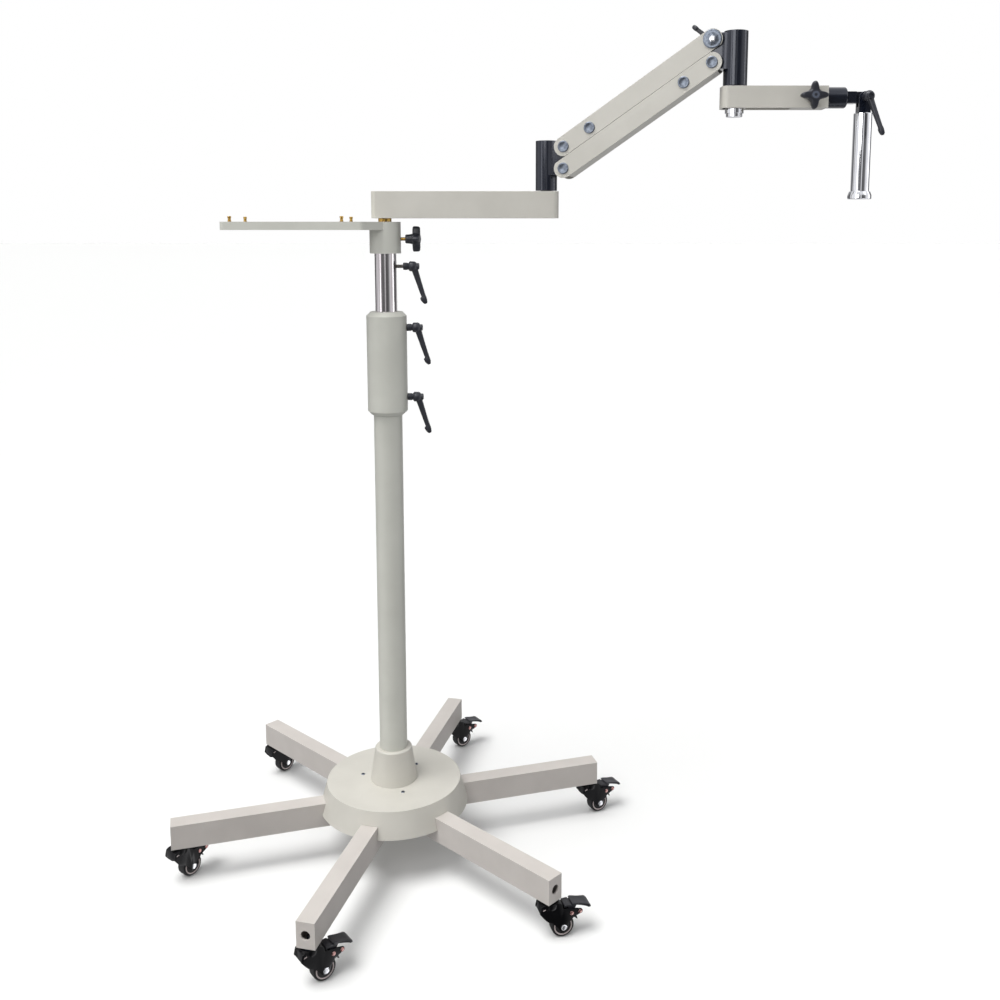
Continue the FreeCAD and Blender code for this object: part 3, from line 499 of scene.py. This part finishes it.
def rings(bm, loops, slotIndex=0):
    # skin between closed loops of points in mm, with a face on each end
    rows = [[bm.verts.new(Vector(p) * mm) for p in loop] for loop in loops]
    count = len(rows[0])
    for low, high in zip(rows, rows[1:]):
        for i in range(count):
            j = (i + 1) % count
            face = bm.faces.new((low[i], low[j], high[j], high[i]))
            face.material_index = slotIndex
    for row in (rows[0][::-1], rows[-1]):
        face = bm.faces.new(row)
        face.material_index = slotIndex


def circle(sides):
    # the angles of even steps round a circle
    return [2 * math.pi * i / sides for i in range(sides)]


def turned(bm, axis, profile, sides=48, slotIndex=0, at=(0, 0)):
    # (along, radius) corners turned about the x, y or z axis through a point across it
    loops = []
    for along, radius in profile:
        radius = max(radius, meshSettings["thinnest"])
        loop = []
        for angle in circle(sides):
            point = [at[0] + radius * math.cos(angle), at[1] + radius * math.sin(angle)]
            point.insert("xyz".index(axis), along)
            loop.append(point)
        loops.append(loop)
    rings(bm, loops, slotIndex)


def roundedLoop(halfWide, halfHigh, corner, sides=5):
    # a rounded rectangle as (a, b) points
    points = []
    corner = min(corner, halfWide, halfHigh)
    for quarter, (sa, sb) in enumerate(((1, 1), (-1, 1), (-1, -1), (1, -1))):
        for i in range(sides):
            angle = math.pi / 2 * (quarter + i / (sides - 1))
            points.append((sa * (halfWide - corner) + corner * math.cos(angle),
                           sb * (halfHigh - corner) + corner * math.sin(angle)))
    return points


sharpest = 0.4  # keeps the inset of a sharp corner short


def plate(bm, outline, low, high, ease, slotIndex=0):
    # an (x, z) outline between two y values, its rims eased by a small round
    def inset(amount):
        count = len(outline)
        result = []
        for i in range(count):
            before, here, after = (Vector(outline[(i + k) % count]) for k in (-1, 0, 1))
            arriving = (here - before).normalized()
            leaving = (after - here).normalized()
            square = Vector((-arriving.y, arriving.x))
            direction = (square + Vector((-leaving.y, leaving.x))).normalized()
            reach = amount / max(sharpest, direction.dot(square))
            result.append(here + direction * reach)
        return result

    area = 0
    for i, (x, z) in enumerate(outline):
        area += outline[i - 1][0] * z - x * outline[i - 1][1]
    if area < 0:
        outline = outline[::-1]
    steps = ((0, ease), (ease * 0.3, ease * 0.3), (ease, 0))
    loops = []
    for deep, inward in steps:
        loops.append([(x, low + deep, z) for x, z in inset(inward)])
    for deep, inward in reversed(steps):
        loops.append([(x, high - deep, z) for x, z in inset(inward)])
    rings(bm, loops, slotIndex)


def arcPoints(centre, radius, start, end, count):
    # points on an arc, in degrees from +x towards +z
    out = []
    for i in range(count):
        angle = math.radians(start + (end - start) * i / (count - 1))
        out.append((centre[0] + radius * math.cos(angle), centre[1] + radius * math.sin(angle)))
    return out


def jointFrame(jointName):
    # a matrix at a joint whose X is the joint's axis and whose Z is as near up as it can be
    joint = joints[jointName]
    x = Vector(joint["axis"]).normalized()
    up = Vector((0, 0, 1))
    y = up.cross(x).normalized()
    z = x.cross(y)
    turn = Matrix((x, y, z)).transposed().to_4x4()
    return Matrix.Translation(Vector(joint["pos_m"])) @ turn


threadSettings = {
    "pitch": 1.25, "first": 0.4, "root": 0.3, "crest": 0.25, "half": 0.35, "point": 0.6, "taper": 0.8,
}


def makeStud(bm, radius, inside, bare, s=threadSettings):
    # the screw behind a lever or knob, with thread ridges where it is bare
    end = -inside - bare
    turned(bm, "x", [(end, radius - s["point"]), (end + s["taper"], radius), (1, radius)], 24, 1)
    root, crest, half = radius - s["root"], radius + s["crest"], s["half"]
    for k in range(int(bare / s["pitch"])):
        x = -bare + s["first"] + s["pitch"] * k
        turned(bm, "x", [(x, root), (x + half, crest), (x + 2 * half, root)], 24, 1)


handleSettings = {
    "corner": 0.62,  # share of the thinner half
    # share of the length, half width, half thickness, shift to the outside
    "stations": [
        (0.00, 7.4, 6.6, 0.0), (0.16, 6.8, 5.6, 0.0), (0.40, 6.1, 4.9, 0.0), (0.72, 5.3, 4.4, 0.2),
        (0.84, 5.0, 4.2, 0.5), (0.865, 6.8, 4.6, -1.0), (0.90, 7.2, 4.8, -1.2), (0.96, 6.4, 4.8, -0.7),
        (1.02, 4.8, 4.2, 0.0), (1.052, 2.8, 2.6, 0.3)],
}


def leverHandle(bm, fromX, drop, splay, s=handleSettings):
    # a flat tapering handle from inside the hub to a tip that swells towards the column
    length = math.hypot(drop, splay)
    along = Vector((splay, 0, -drop)) / length
    side = Vector((drop, 0, splay)) / length  # away from the column
    start = Vector((fromX, 0, 0))
    loops = []
    for share, wide, thick, shift in s["stations"]:
        centre = start + along * length * share + side * shift
        section = roundedLoop(wide, thick, min(wide, thick) * s["corner"])
        loops.append([centre + side * a + Vector((0, b, 0)) for a, b in section])
    rings(bm, loops)


leverSettings = {
    "collar": 14, "collarR": 8.2, "hub": 16, "hubR": 11.2, "button": 6, "buttonR": 7.2,
    "splay": 25, "drop": 80, "studR": 3.8,
}


def makeLever(name, jointName, body, s, node, roll=0, studIn=9, studOut=0.3):
    bm = bmesh.new()
    makeStud(bm, s["studR"], studIn, studOut)
    c, r = s["collar"], s["collarR"]
    turned(bm, "x", [(0, r - 1), (0.8, r), (c - 5, r), (c - 3.6, r - 0.9), (c + 0.5, r - 0.9)], 40)
    far, r = c + s["hub"], s["hubR"]
    turned(bm, "x", [
        (c - 1, r - 2.6), (c, r - 0.9), (c + 1.2, r), (far - 5, r), (far - 1.8, r - 1.6), (far, r - 3.9)], 48)
    end, r = far + s["button"], s["buttonR"]
    turned(bm, "x", [
        (far - 1, r), (end - 1, r), (end, r - 1.1), (end, 3.6), (end - 1.6, 3.2), (end - 1.6, 0.5)], 40)
    leverHandle(bm, c + s["hub"] * 0.6, s["drop"], s["splay"])
    mesh = finishMesh(bm, name, [nylons["blackGlassFilledNylon"], wire])
    place = jointFrame(jointName)
    place = place @ Matrix.Translation((studOut * mm, 0, 0)) @ Matrix.Rotation(math.radians(roll), 4, "X")
    addPiece(name, mesh, place, body, [node])


makeLever("clampLeverLow", "sleeve_lever_low_turn", "sleeve_clamp_low", leverSettings, "sleeve_lever_low")
makeLever("clampLeverTop", "sleeve_lever_top_turn", "sleeve_clamp_top", leverSettings, "sleeve_lever_top")
makeLever("clampLeverColumn", "column_lever_turn", "mast_clamp", leverSettings, "column_lever", 0, 12, 15)
makeLever("tiltLever", "tilt_lever_turn", "tilt_clamp", leverSettings, "tilt_lever", 16, 24, 0.3)
print("levers ready")


# the lever behind the far end of the upper link
tensionSettings = {"collar": 7, "hub": 16, "hubR": 11.2, "drop": 62, "collarR": 8.2}


def makeTensionLever(s):
    bm = bmesh.new()
    c, r = s["collar"], s["collarR"]
    turned(bm, "x", [(0, r - 0.8), (0.8, r), (c + 1, r)], 40)
    far, r = c + s["hub"], s["hubR"]
    turned(bm, "x", [
        (c, r - 1), (c + 1, r), (far - 3, r), (far, r - 3), (far, 3.4), (far - 1.2, 3.2),
        (far - 1.2, 0.5)], 48)
    leverHandle(bm, c + s["hub"] / 2, s["drop"], 0)
    mesh = finishMesh(bm, "tensionLeverBlack", [nylons["blackGlassFilledNylon"]])
    joint = joints["tension_lever_turn"]
    axis = Vector(joint["axis"]).normalized()
    centre = Vector(joint["pos_m"])
    # the CAD lever's nearest point along the axis and its farthest from it place this one
    corners = [v.co - centre for v in frame["nodes"]["tension_lever"].data.vertices]
    start = min(corner.dot(axis) for corner in corners)
    across = [corner - axis * corner.dot(axis) for corner in corners]
    down = -max(across, key=lambda v: v.length).normalized()
    turn = Matrix((axis, down.cross(axis), down)).transposed().to_4x4()
    place = Matrix.Translation(centre + axis * start) @ turn
    addPiece("tensionLeverBlack", mesh, place, "tension_clamp", ["tension_lever"])


makeTensionLever(tensionSettings)


knobSettings = {
    "collar": 16, "collarR": 10.3, "thick": 17, "lobeR": 28.4, "waistR": 14.8, "edge": 3.0, "studR": 3.8,
    "discR": 8.5, "sharpness": 1.9, "lobes": 4, "sides": 144,
}


def makeKnob(name, jointName, body, s, node, studIn, studOut):
    # four soft lobes with rounded rims, on a collar, with a grey disc let into the face
    bm = bmesh.new()
    makeStud(bm, s["studR"], studIn, studOut)
    c, t, e = s["collar"], s["thick"], s["edge"]
    r = s["collarR"]
    turned(bm, "x", [(0, r - 1.4), (0.9, r - 0.4), (c * 0.5, r), (c + 1, r + 1.6)], 48)

    def lobe(angle):
        share = (0.5 + 0.5 * math.cos(s["lobes"] * angle)) ** s["sharpness"]
        return s["waistR"] + (s["lobeR"] - s["waistR"]) * share

    rims = [
        # height above the collar, how far the outline moves inward
        (0, e * 1.6), (e * 0.25, e * 0.6), (e * 0.8, 0.1), (t * 0.5, 0), (t - e * 1.3, 0.5),
        (t - e * 0.5, 1.6), (t - 0.2, e + 0.4), (t, e + 2.4)]
    loops = []
    for x, inward in rims:
        loop = []
        for angle in circle(s["sides"]):
            reach = lobe(angle) - inward
            loop.append((c + x, reach * math.cos(angle), reach * math.sin(angle)))
        loops.append(loop)
    rings(bm, loops)
    face, r = c + t, s["discR"]
    seat = [(face - 1, r + 1), (face + 0.5, r + 0.6), (face + 0.5, r - 0.7), (face + 0.1, r - 1)]
    turned(bm, "x", seat, 48)
    disc = [(face - 1, r - 1), (face + 0.25, r - 1), (face + 0.25, 3.2), (face - 0.6, 2.8), (face - 0.6, 0.4)]
    turned(bm, "x", disc, 48, 2)
    mesh = finishMesh(bm, name, [nylons["blackGlassFilledNylon"], brass, nylons["greyKnobInsert"]])
    place = jointFrame(jointName) @ Matrix.Translation((studOut * mm, 0, 0))
    addPiece(name, mesh, place, body, [node])


makeKnob("starKnobTray", "tray_knob_turn", "tray_clamp", knobSettings, "tray_knob", 9.5, 10.5)
makeKnob("starKnobArm", "arm_knob_turn", "arm_clamp", knobSettings, "arm_knob", 12, 0.3)
print("knobs ready")


springSettings = {
    "coilR": 11.4, "wireR": 1.6, "pitch": 3.5, "hook": 24, "eyeR": 8.4, "pin": 10, "sides": 8, "steps": 22,
    "hookSteps": 12, "hookTurn": 270,
}


def tube(bm, path, radius, sides):
    # a round skin along a path of points
    loops = []
    normal = None
    for i, point in enumerate(path):
        ahead = path[min(i + 1, len(path) - 1)] - path[max(i - 1, 0)]
        ahead.normalize()
        if normal is None:
            normal = ahead.orthogonal().normalized()
        normal = (normal - ahead * normal.dot(ahead)).normalized()
        other = ahead.cross(normal)
        loops.append([point + (normal * math.cos(a) + other * math.sin(a)) * radius for a in circle(sides)])
    rings(bm, loops)


def makeSpring(s):
    # the coil runs between the two anchor pins, which the CAD bar's far ends give
    vertices = [v.co for v in frame["nodes"]["balance_spring"].data.vertices]
    lowEnd = min(vertices, key=lambda v: v.z + v.x)
    highEnd = max(vertices, key=lambda v: v.z + v.x)
    axis = Vector(joints["arm_lift"]["axis"])
    middle = sum(vertices, Vector()) / len(vertices)
    along = highEnd - lowEnd
    along = (along - axis * along.dot(axis)).normalized()
    low = min((v - middle).dot(along) for v in vertices) / mm + s["pin"]
    high = max((v - middle).dot(along) for v in vertices) / mm - s["pin"]
    first, last = low + s["hook"], high - s["hook"]
    steps = int((last - first) / s["pitch"]) * s["steps"]
    eye = s["eyeR"]
    path = []
    for i in range(s["hookSteps"] + 1):  # the hook round the first pin
        angle = math.radians(90 + s["hookTurn"] * i / s["hookSteps"])
        path.append(Vector((low + eye * math.cos(angle), 0, eye * math.sin(angle))))
    path.append(Vector((low + eye * 1.4, 0, eye * 0.2)))
    for i in range(steps + 1):
        angle = 2 * math.pi * i / s["steps"]
        x = first + (last - first) * i / steps
        path.append(Vector((x, s["coilR"] * math.sin(angle), s["coilR"] * math.cos(angle))))
    path.append(Vector((high - eye * 1.4, 0, eye * 0.2)))
    for i in range(s["hookSteps"] + 1):  # and round the second
        angle = math.radians(180 - s["hookTurn"] * i / s["hookSteps"])
        path.append(Vector((high + eye * math.cos(angle), 0, eye * math.sin(angle))))
    bm = bmesh.new()
    tube(bm, path, s["wireR"], s["sides"])
    mesh = finishMesh(bm, "balanceSpringCoil", [wire])
    z = along.cross(axis).normalized()
    turn = Matrix((along, z.cross(along), z)).transposed().to_4x4()
    place = Matrix.Translation(middle) @ turn
    addPiece("balanceSpringCoil", mesh, place, "upper_bar", ["balance_spring"])


makeSpring(springSettings)
print("spring ready")


pinSettings = {
    "shankR": 6, "half": 28, "cap": 2.2, "capR": 12.3, "washerR": 19.5, "screwR": 6.5, "dotR": 1.5,
    "dotAt": (-0.42, 0.48),  # shares of the washer's radius
    "apart": 0.012,  # metres, less than the gap between two pins
}


def pinStack(bm, s, washer):
    # one pin along X with its near cap at negative X
    shank, r = s["half"], s["capR"]
    turned(bm, "x", [(-shank, s["shankR"]), (shank, s["shankR"])], 32)
    end = shank + s["cap"]
    turned(bm, "x", [(shank, r), (end - 0.6, r), (end, r - 0.8), (end, 0.4)], 56)
    face = -end
    if washer:
        rim, r = s["washerR"], s["screwR"]
        turned(bm, "x", [
            (-shank, rim), (face + 0.5, rim), (face, rim - 0.7), (face, rim - 3.2), (face + 0.4, rim - 3.6),
            (face + 0.4, r + 3), (face, r + 2.4), (face, 0.4)], 72)
        turned(bm, "x", [
            (face + 0.2, r), (face - 0.5, r - 0.2), (face - 1.1, r - 1.6), (face - 1.2, 2.4),
            (face - 0.3, 1.9), (face - 0.3, 0.3)], 40, 1)
        dot = [(face + 0.2, s["dotR"]), (face - 0.15, s["dotR"]), (face - 0.15, 0.3)]
        turned(bm, "x", dot, 20, 2, [rim * share for share in s["dotAt"]])
    else:
        turned(bm, "x", [
            (-shank, r), (face + 0.7, r), (face, r - 1.0), (face, r - 3.0), (face + 0.25, r - 3.4),
            (face + 0.25, 0.4)], 56)


def makeLinkPins(name, node, body, s, jointName, washerAtFar):
    # each CAD pin is one round solid along the link's pivot axis; its middle gives the place
    axis = -Vector(joints[jointName]["axis"])
    vertices = [v.co for v in frame["nodes"][node].data.vertices]
    pivot = Vector(joints[jointName]["pos_m"])
    flat = [(v - pivot - axis * (v - pivot).dot(axis)) for v in vertices]
    direction = max(flat, key=lambda v: v.length).normalized()
    spans = sorted(round(v.dot(direction), 4) for v in flat)
    groups = [[spans[0]]]
    for value in spans[1:]:
        if value - groups[-1][-1] > s["apart"]:
            groups.append([])
        groups[-1].append(value)
    x = axis.normalized()
    turn = Matrix((x, direction, x.cross(direction))).transposed().to_4x4()
    for number, members in enumerate(groups):
        middle = (members[0] + members[-1]) / 2
        bm = bmesh.new()
        pinStack(bm, s, washerAtFar and number == len(groups) - 1)
        mesh = finishMesh(bm, f"{name}{number + 1}", [zinc, chrome, nylons["blackGlassFilledNylon"]])
        place = Matrix.Translation(pivot + direction * middle) @ turn
        addPiece(f"{name}{number + 1}", mesh, place, body, [node])


makeLinkPins("upperPin", "upper_link_pins", "upper_bar", pinSettings, "arm_lift", True)
makeLinkPins("lowerPin", "lower_link_pins", "lower_bar", pinSettings, "lower_bar_swing", False)
print("link pins ready")


castorSettings = {
    "trail": 27, "wheelR": 25, "wheelWide": 25, "forkHalf": 17, "wellHalf": 14, "back": 26, "capLow": 66,
    "capTop": 81.7, "pedalX": 44, "pedalZ": 54.5, "stopX": 63, "stopZ": 55.7, "pedalStart": 34,
    "pedalHalf": 16.5, "ribs": 6, "ribFirst": 0.3, "ribFrom": 8.5, "ribTo": 15.4, "ribHalf": 0.9,
    "rimSides": 56, "treadSteps": 12,
}


def castorFrame(label):
    # on the floor under the stem, X towards the wheel
    stem = Vector(joints["castor_swivel_" + label]["pos_m"])
    axle = Vector(joints["wheel_spin_" + label]["axis"]).normalized()
    x = axle.cross(Vector((0, 0, 1)))
    turn = Matrix((x, axle, Vector((0, 0, 1)))).transposed().to_4x4()
    return Matrix.Translation((stem.x, stem.y, 0)) @ turn


def wheelMesh(s):
    bm = bmesh.new()
    r, w = s["wheelR"], s["wheelWide"] / 2
    x, z = s["trail"], r
    # half of the tyre, from a side to the middle: a crowned tread with a fine mould line
    half = [
        (1.2, 19.6), (0.7, 21.4), (1.0, 23.0), (2.4, 24.3), (5, 24.85), (w - 0.5, r - 0.02)]
    tyre = [(deep - w, radius) for deep, radius in half] + [(0, r)]
    tyre += [(w - deep, radius) for deep, radius in reversed(half)]
    turned(bm, "y", tyre, 72, 0, (x, z))
    # pale ring, dark hub with a rim, and a boss round the axle, as depth from the wheel's side and radius
    ring = [(1.6, 20.2), (0.6, 19.9), (0.35, 19.2), (0.35, 18.0), (0.8, 17.4), (1.8, 17.2)]
    hub = [
        (2.8, 17.6), (1.3, 17.2), (1.5, 15.6), (2.6, 14.8), (2.8, 9.4), (1.2, 8.6), (0.2, 8.0), (0.2, 4.4)]
    for side in (-1, 1):
        turned(bm, "y", [(side * (w - deep), radius) for deep, radius in ring], 72, 1, (x, z))
        turned(bm, "y", [(side * (w - deep), radius) for deep, radius in hub], 56, 2, (x, z))
        low, high = sorted((side * (w - 3), side * (w - 1.7)))
        for k in range(s["ribs"]):
            angle = 2 * math.pi / s["ribs"] * k + s["ribFirst"]
            outward = Vector((math.cos(angle), math.sin(angle)))
            across = Vector((-math.sin(angle), math.cos(angle))) * s["ribHalf"]
            inner = Vector((x, z)) + outward * s["ribFrom"]
            outer = Vector((x, z)) + outward * s["ribTo"]
            rib = [tuple(p) for p in (inner - across, outer - across, outer + across, inner + across)]
            plate(bm, rib, low, high, 0.25, 2)
    return finishMesh(bm, "castorWheel", [tread, nylons["warmGreyRing"], shellBlack])


def forkMesh(s):
    bm = bmesh.new()
    back, top, low = -s["back"], s["capTop"], s["capLow"]
    t, r = s["trail"], s["wheelR"]
    cheek = [(back + 3, top - 3)]
    cheek += arcPoints((back + 4, low - 1), 4, 170, 235, 5)
    cheek += [(-17, 52), (-9, 43.5), (2, 38.5), (10, 30)]
    cheek += arcPoints((t, r), 10.5, 190, 350, 12)
    cheek += [(t + 12.5, r + 8), (t + 21, r + 18), (s["stopX"] - 1, s["stopZ"] - 6.2)]
    cheek += arcPoints((s["stopX"] + 0.6, s["stopZ"] - 0.4), 5.6, -75, 65, 7)
    cheek += [(54, 63.5), (s["pedalX"] - 4, 65.2), (28, 65.8), (25.5, 68), (24, 75), (20, 79.6)]
    cheek += [(13, top), (back + 10, top)]
    for y0, y1 in ((-s["forkHalf"], -s["wellHalf"]), (s["wellHalf"], s["forkHalf"])):
        plate(bm, cheek, y0, y1, 0.9)
    # hood: the round back and the roof between the cheeks
    hood = [
        (back + 0.6, low + 1), (back + 2, low - 4.5), (back + 6, low - 5.5), (-12, 55), (-6, 54.5), (2, 56.5),
        (10, 56.5), (19, 56), (23, 57), (25, 60), (25, 74.6), (20.6, 79.2), (13, top - 0.3), (5, top - 0.1),
        (back + 10, top - 0.1), (back + 3.5, top - 3)]
    plate(bm, hood, -s["wellHalf"] - 1, s["wellHalf"] + 1, 0.8)
    # turntable rim under the leg
    rim = [(low + 3, 18.6), (low + 6, 19.8), (top - 2, 19.8), (top - 0.6, 19.0), (top, 17.6)]
    turned(bm, "z", rim, s["rimSides"])
    # height over the cheek and radius of the domed axle cap and of the rivets
    axleCap = [(0, 6.6), (1.0, 6.4), (1.5, 5.4), (2.0, 5.0), (2.4, 3.6), (2.5, 0.4)]
    rivet = [(0, 4.4), (1.0, 4.3), (1.6, 3.4), (1.6, 2.0), (1.0, 1.6), (1.0, 0.3)]
    # from x, to x, z and rise of the light slots by the hood
    slots = ((-20, -13, 70, 1.5), (-9, 1, 70.5, 2.0))
    for side in (-1, 1):
        face = side * s["forkHalf"]
        y0, y1 = sorted((face - side * 0.5, face + side * 0.35))
        for x0, x1, z0, rise in slots:
            slot = [(x0, z0), (x1, z0 + rise), (x1 - 0.6, z0 + rise + 2.2), (x0 + 0.6, z0 + 2.2)]
            plate(bm, slot, y0, y1, 0.2, 3)
        turned(bm, "y", [(face + side * high, radius) for high, radius in axleCap], 40, 1, (t, r))
        for place in ((s["pedalX"], s["pedalZ"]), (s["stopX"], s["stopZ"])):
            turned(bm, "y", [(face + side * high, radius) for high, radius in rivet], 32, 2, place)
    turned(bm, "y", [(-s["forkHalf"], 3.9), (s["forkHalf"], 3.9)], 24, 1, (t, r))
    return finishMesh(bm, "castorFork", [shellBlack, chrome, copperRivet, nylons["warmGreyRing"]], 34)


def pedalMesh(s):
    bm = bmesh.new()
    x0, px, half = s["pedalStart"], s["pedalX"], s["pedalHalf"]
    # first tread: a flat step with a low rim
    step = [(x0 - 5, 67.0), (x0 - 5, 69.6), (x0 - 3.8, 70.8), (px, 71.4), (px + 1, 69.2), (px, 67.4)]
    plate(bm, step, -half + 2.6, half - 2.6, 0.9)
    for y in (-half + 2.6, half - 4.4):
        plate(bm, [(x0 - 4, 69), (x0 - 4, 71.3), (px - 0.5, 72.0), (px - 0.5, 69)], y, y + 1.8, 0.5)
    for k in range(3):  # grip ribs
        x = x0 - 1 + 3 * k
        plate(bm, [(x, 70), (x, 71.4), (x + 1.2, 71.5), (x + 1.2, 70)], -half + 6, half - 6, 0.3)
    # second tread: an arched shell with dished sides, lofted along the arch
    stations = [
        # x, top height, thickness, half width, dish
        (px + 1.5, 72.4, 3.0, half - 3.0, 0.0), (px + 2.6, 74.0, 4.4, half - 2.0, 0.2),
        (px + 6, 74.4, 5.0, half - 1.8, 0.8), (px + 12, 73.6, 5.2, half - 2.6, 1.3),
        (px + 19, 72.0, 5.4, half - 2.8, 1.5), (px + 26, 70.4, 5.6, half - 2.2, 1.5),
        (px + 33, 69.0, 6.0, half - 1.2, 1.3), (px + 38, 67.8, 6.6, half - 0.3, 0.8),
        (px + 41.6, 65.6, 6.8, half, 0.4), (px + 44.0, 62.6, 5.6, half - 0.8, 0.1),
        (px + 44.9, 60.2, 2.4, half - 2.0, 0.0)]
    across = s["treadSteps"]
    loops = []
    for i, (x, top, thick, wide, dish) in enumerate(stations):
        before, after = stations[max(i - 1, 0)], stations[min(i + 1, len(stations) - 1)]
        slope = math.atan2(after[1] - before[1], after[0] - before[0])
        upper, lower = [], []
        for k in range(across + 1):
            y = -wide + 2 * wide * k / across
            share = abs(y) / wide
            sink = dish * (1 - share ** 2)
            edge = 0.7 if k in (0, across) else 0
            for row, depth in ((upper, sink + edge), (lower, thick - edge)):
                row.append((x + math.sin(slope) * depth, y, top - math.cos(slope) * depth))
        loops.append(upper + lower[::-1])
    rings(bm, loops)
    # arm and boss, and the claw over the tyre
    arm = [(px - 6.4, 69), (px - 5.4, 56), (px - 3, 50.5), (px + 3, 50.5), (px + 6.4, 56), (px + 14, 71)]
    plate(bm, arm, -s["wellHalf"] + 1, s["wellHalf"] - 1, 0.8)
    claw = [
        (px, 57), (px + 3.2, 43.5), (px + 7, 40), (px + 12.6, 34.6), (px + 15.6, 31.8), (px + 17.4, 32.6),
        (px + 15.2, 38.5), (px + 11.4, 46), (px + 9, 57)]
    plate(bm, claw, -7.6, 7.6, 0.6)
    return finishMesh(bm, "castorPedal", [nylons["satinBlackPedal"]], 34)


castorParts = {
    # piece: its mesh, the start of its body's name, its material slot
    "wheel": (wheelMesh(castorSettings), "wheel_", "castor_tyre"),
    "fork": (forkMesh(castorSettings), "castor_", "black_castor_shell"),
    "pedal": (pedalMesh(castorSettings), "pedal_", "black_castor_shell"),
}
for label in castorNames:
    place = castorFrame(label)
    for part, (mesh, bodyStart, slotName) in castorParts.items():
        addPiece(f"{part}_{label}", mesh, place, bodyStart + label, [f"castor_{part}_{label}"])
print("castors ready")


studSettings = {"r": 4, "coreR": 3, "flange": 2.2, "neck": 0.7, "headHigh": 4}


def makeTrayStuds(s):
    # four turned studs, each a flange, a neck and a head with a small hole
    low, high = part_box("tray_studs")
    foot, top = low.z / mm, high.z / mm
    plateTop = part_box("tray_plate")[1].z / mm
    r, neck = s["r"], s["r"] - s["neck"]
    flange, head = plateTop + s["flange"], top - s["headHigh"]
    profile = [
        (foot, s["coreR"]), (plateTop, s["coreR"]), (plateTop, r), (flange, r), (flange + 0.4, neck),
        (head - 0.4, neck), (head, r), (top - 0.6, r), (top, r - 0.6), (top, 1.7), (top - 1.6, 1.5),
        (top - 1.6, 0.3)]
    bm = bmesh.new()
    for x in (low.x / mm + r, high.x / mm - r):
        for y in (low.y / mm + r, high.y / mm - r):
            turned(bm, "z", profile, 40, 0, (x, y))
    mesh = finishMesh(bm, "brassTrayStuds", [brass])
    addPiece("brassTrayStuds", mesh, Matrix.Identity(4), "tray", ["tray_studs"])


makeTrayStuds(studSettings)

coverScrewSettings = {
    "headR": 4.5, "headHigh": 1.5, "socketR": 2.2, "socketDeep": 1.2,
    "level": 1e-5, "apart": 0.02,  # metres: flatness of a head's top, and more than a head's width
}


def makeCoverScrews(s):
    # three screws, each with a black hexagon laid on its head as painted shade for the socket's recess, found
    # from the CAD solids
    vertices = [v.co for v in frame["nodes"]["cover_screws"].data.vertices]
    headTop = max(v.z for v in vertices)
    groups = []
    for v in vertices:
        if v.z <= headTop - s["level"]:
            continue
        for members in groups:
            if (members[0] - v).length < s["apart"]:
                members.append(v)
                break
        else:
            groups.append([v])
    z, r, socket = headTop / mm, s["headR"], s["socketR"]
    head = [(z - s["headHigh"], r), (z - 0.5, r), (z, r - 0.6), (z, socket + 0.3)]
    bm = bmesh.new()
    for members in groups:
        x = (min(v.x for v in members) + max(v.x for v in members)) / 2 / mm
        y = (min(v.y for v in members) + max(v.y for v in members)) / 2 / mm
        turned(bm, "z", head, 40, 0, (x, y))
        # the socket: a black hexagon just above the head's top, painted shade standing in for the recess
        deep = z - s["socketDeep"]
        turned(bm, "z", [(z + 0.01, socket + 0.3), (deep, socket), (deep, 0.2)], 6, 1, (x, y))
    mesh = finishMesh(bm, "coverSocketScrews", [zinc, shellBlack])
    addPiece("coverSocketScrews", mesh, Matrix.Identity(4), "base", ["cover_screws"])


makeCoverScrews(coverScrewSettings)

setScrewSettings = {
    "r": 3, "sleeveDown": 14, "collarR": 3.2, "collarUp": 4.5, "armInward": 5.5, "armAcross": 16,
    "armDown": 2.2,
}


def makeSmallScrews(s):
    # set screw near the sleeve's top edge, one in the post's collar and one under the short arm
    black = [nylons["blackGlassFilledNylon"]]
    r = s["r"]
    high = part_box("clamp_sleeve")[1]
    face = high.x / mm
    bm = bmesh.new()
    turned(bm, "x", [
        (face - 2, r), (face - 0.3, r), (face, r - 0.5), (face, 1.6), (face - 0.8, 1.4), (face - 0.8, 0.2)],
        24, 0, (0, high.z / mm - s["sleeveDown"]))
    mesh = finishMesh(bm, "sleeveSetScrew", black)
    addPiece("sleeveSetScrew", mesh, Matrix.Identity(4), "base")
    low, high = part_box("post_collar")
    face = -(high.x - low.x) / 2 / mm
    bm = bmesh.new()
    turned(bm, "x", [(face, s["collarR"] - 0.3), (face + 0.2, s["collarR"]), (face + 3, s["collarR"])], 28)
    mesh = finishMesh(bm, "collarSetScrew", black)
    centre = (low + high) / 2
    place = Matrix.Translation((centre.x, centre.y, low.z + s["collarUp"] * mm))
    addPiece("collarSetScrew", mesh, place, "microscope_post")
    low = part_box("short_arm")[0] / mm
    tip = low.z - s["armDown"]
    bm = bmesh.new()
    turned(bm, "z", [(tip, r - 0.4), (tip + 0.4, r), (low.z + 1, r)], 28, 0,
           (low.x + s["armInward"], low.y + s["armAcross"]))
    mesh = finishMesh(bm, "shortArmScrew", black)
    addPiece("shortArmScrew", mesh, Matrix.Identity(4), "head_arm")


makeSmallScrews(setScrewSettings)
print("hardware ready")

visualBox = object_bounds()
for kind, box in (("CAD", cadBox), ("visual", visualBox)):
    print(kind, "size", [round(v, 4) for v in box[1] - box[0]])
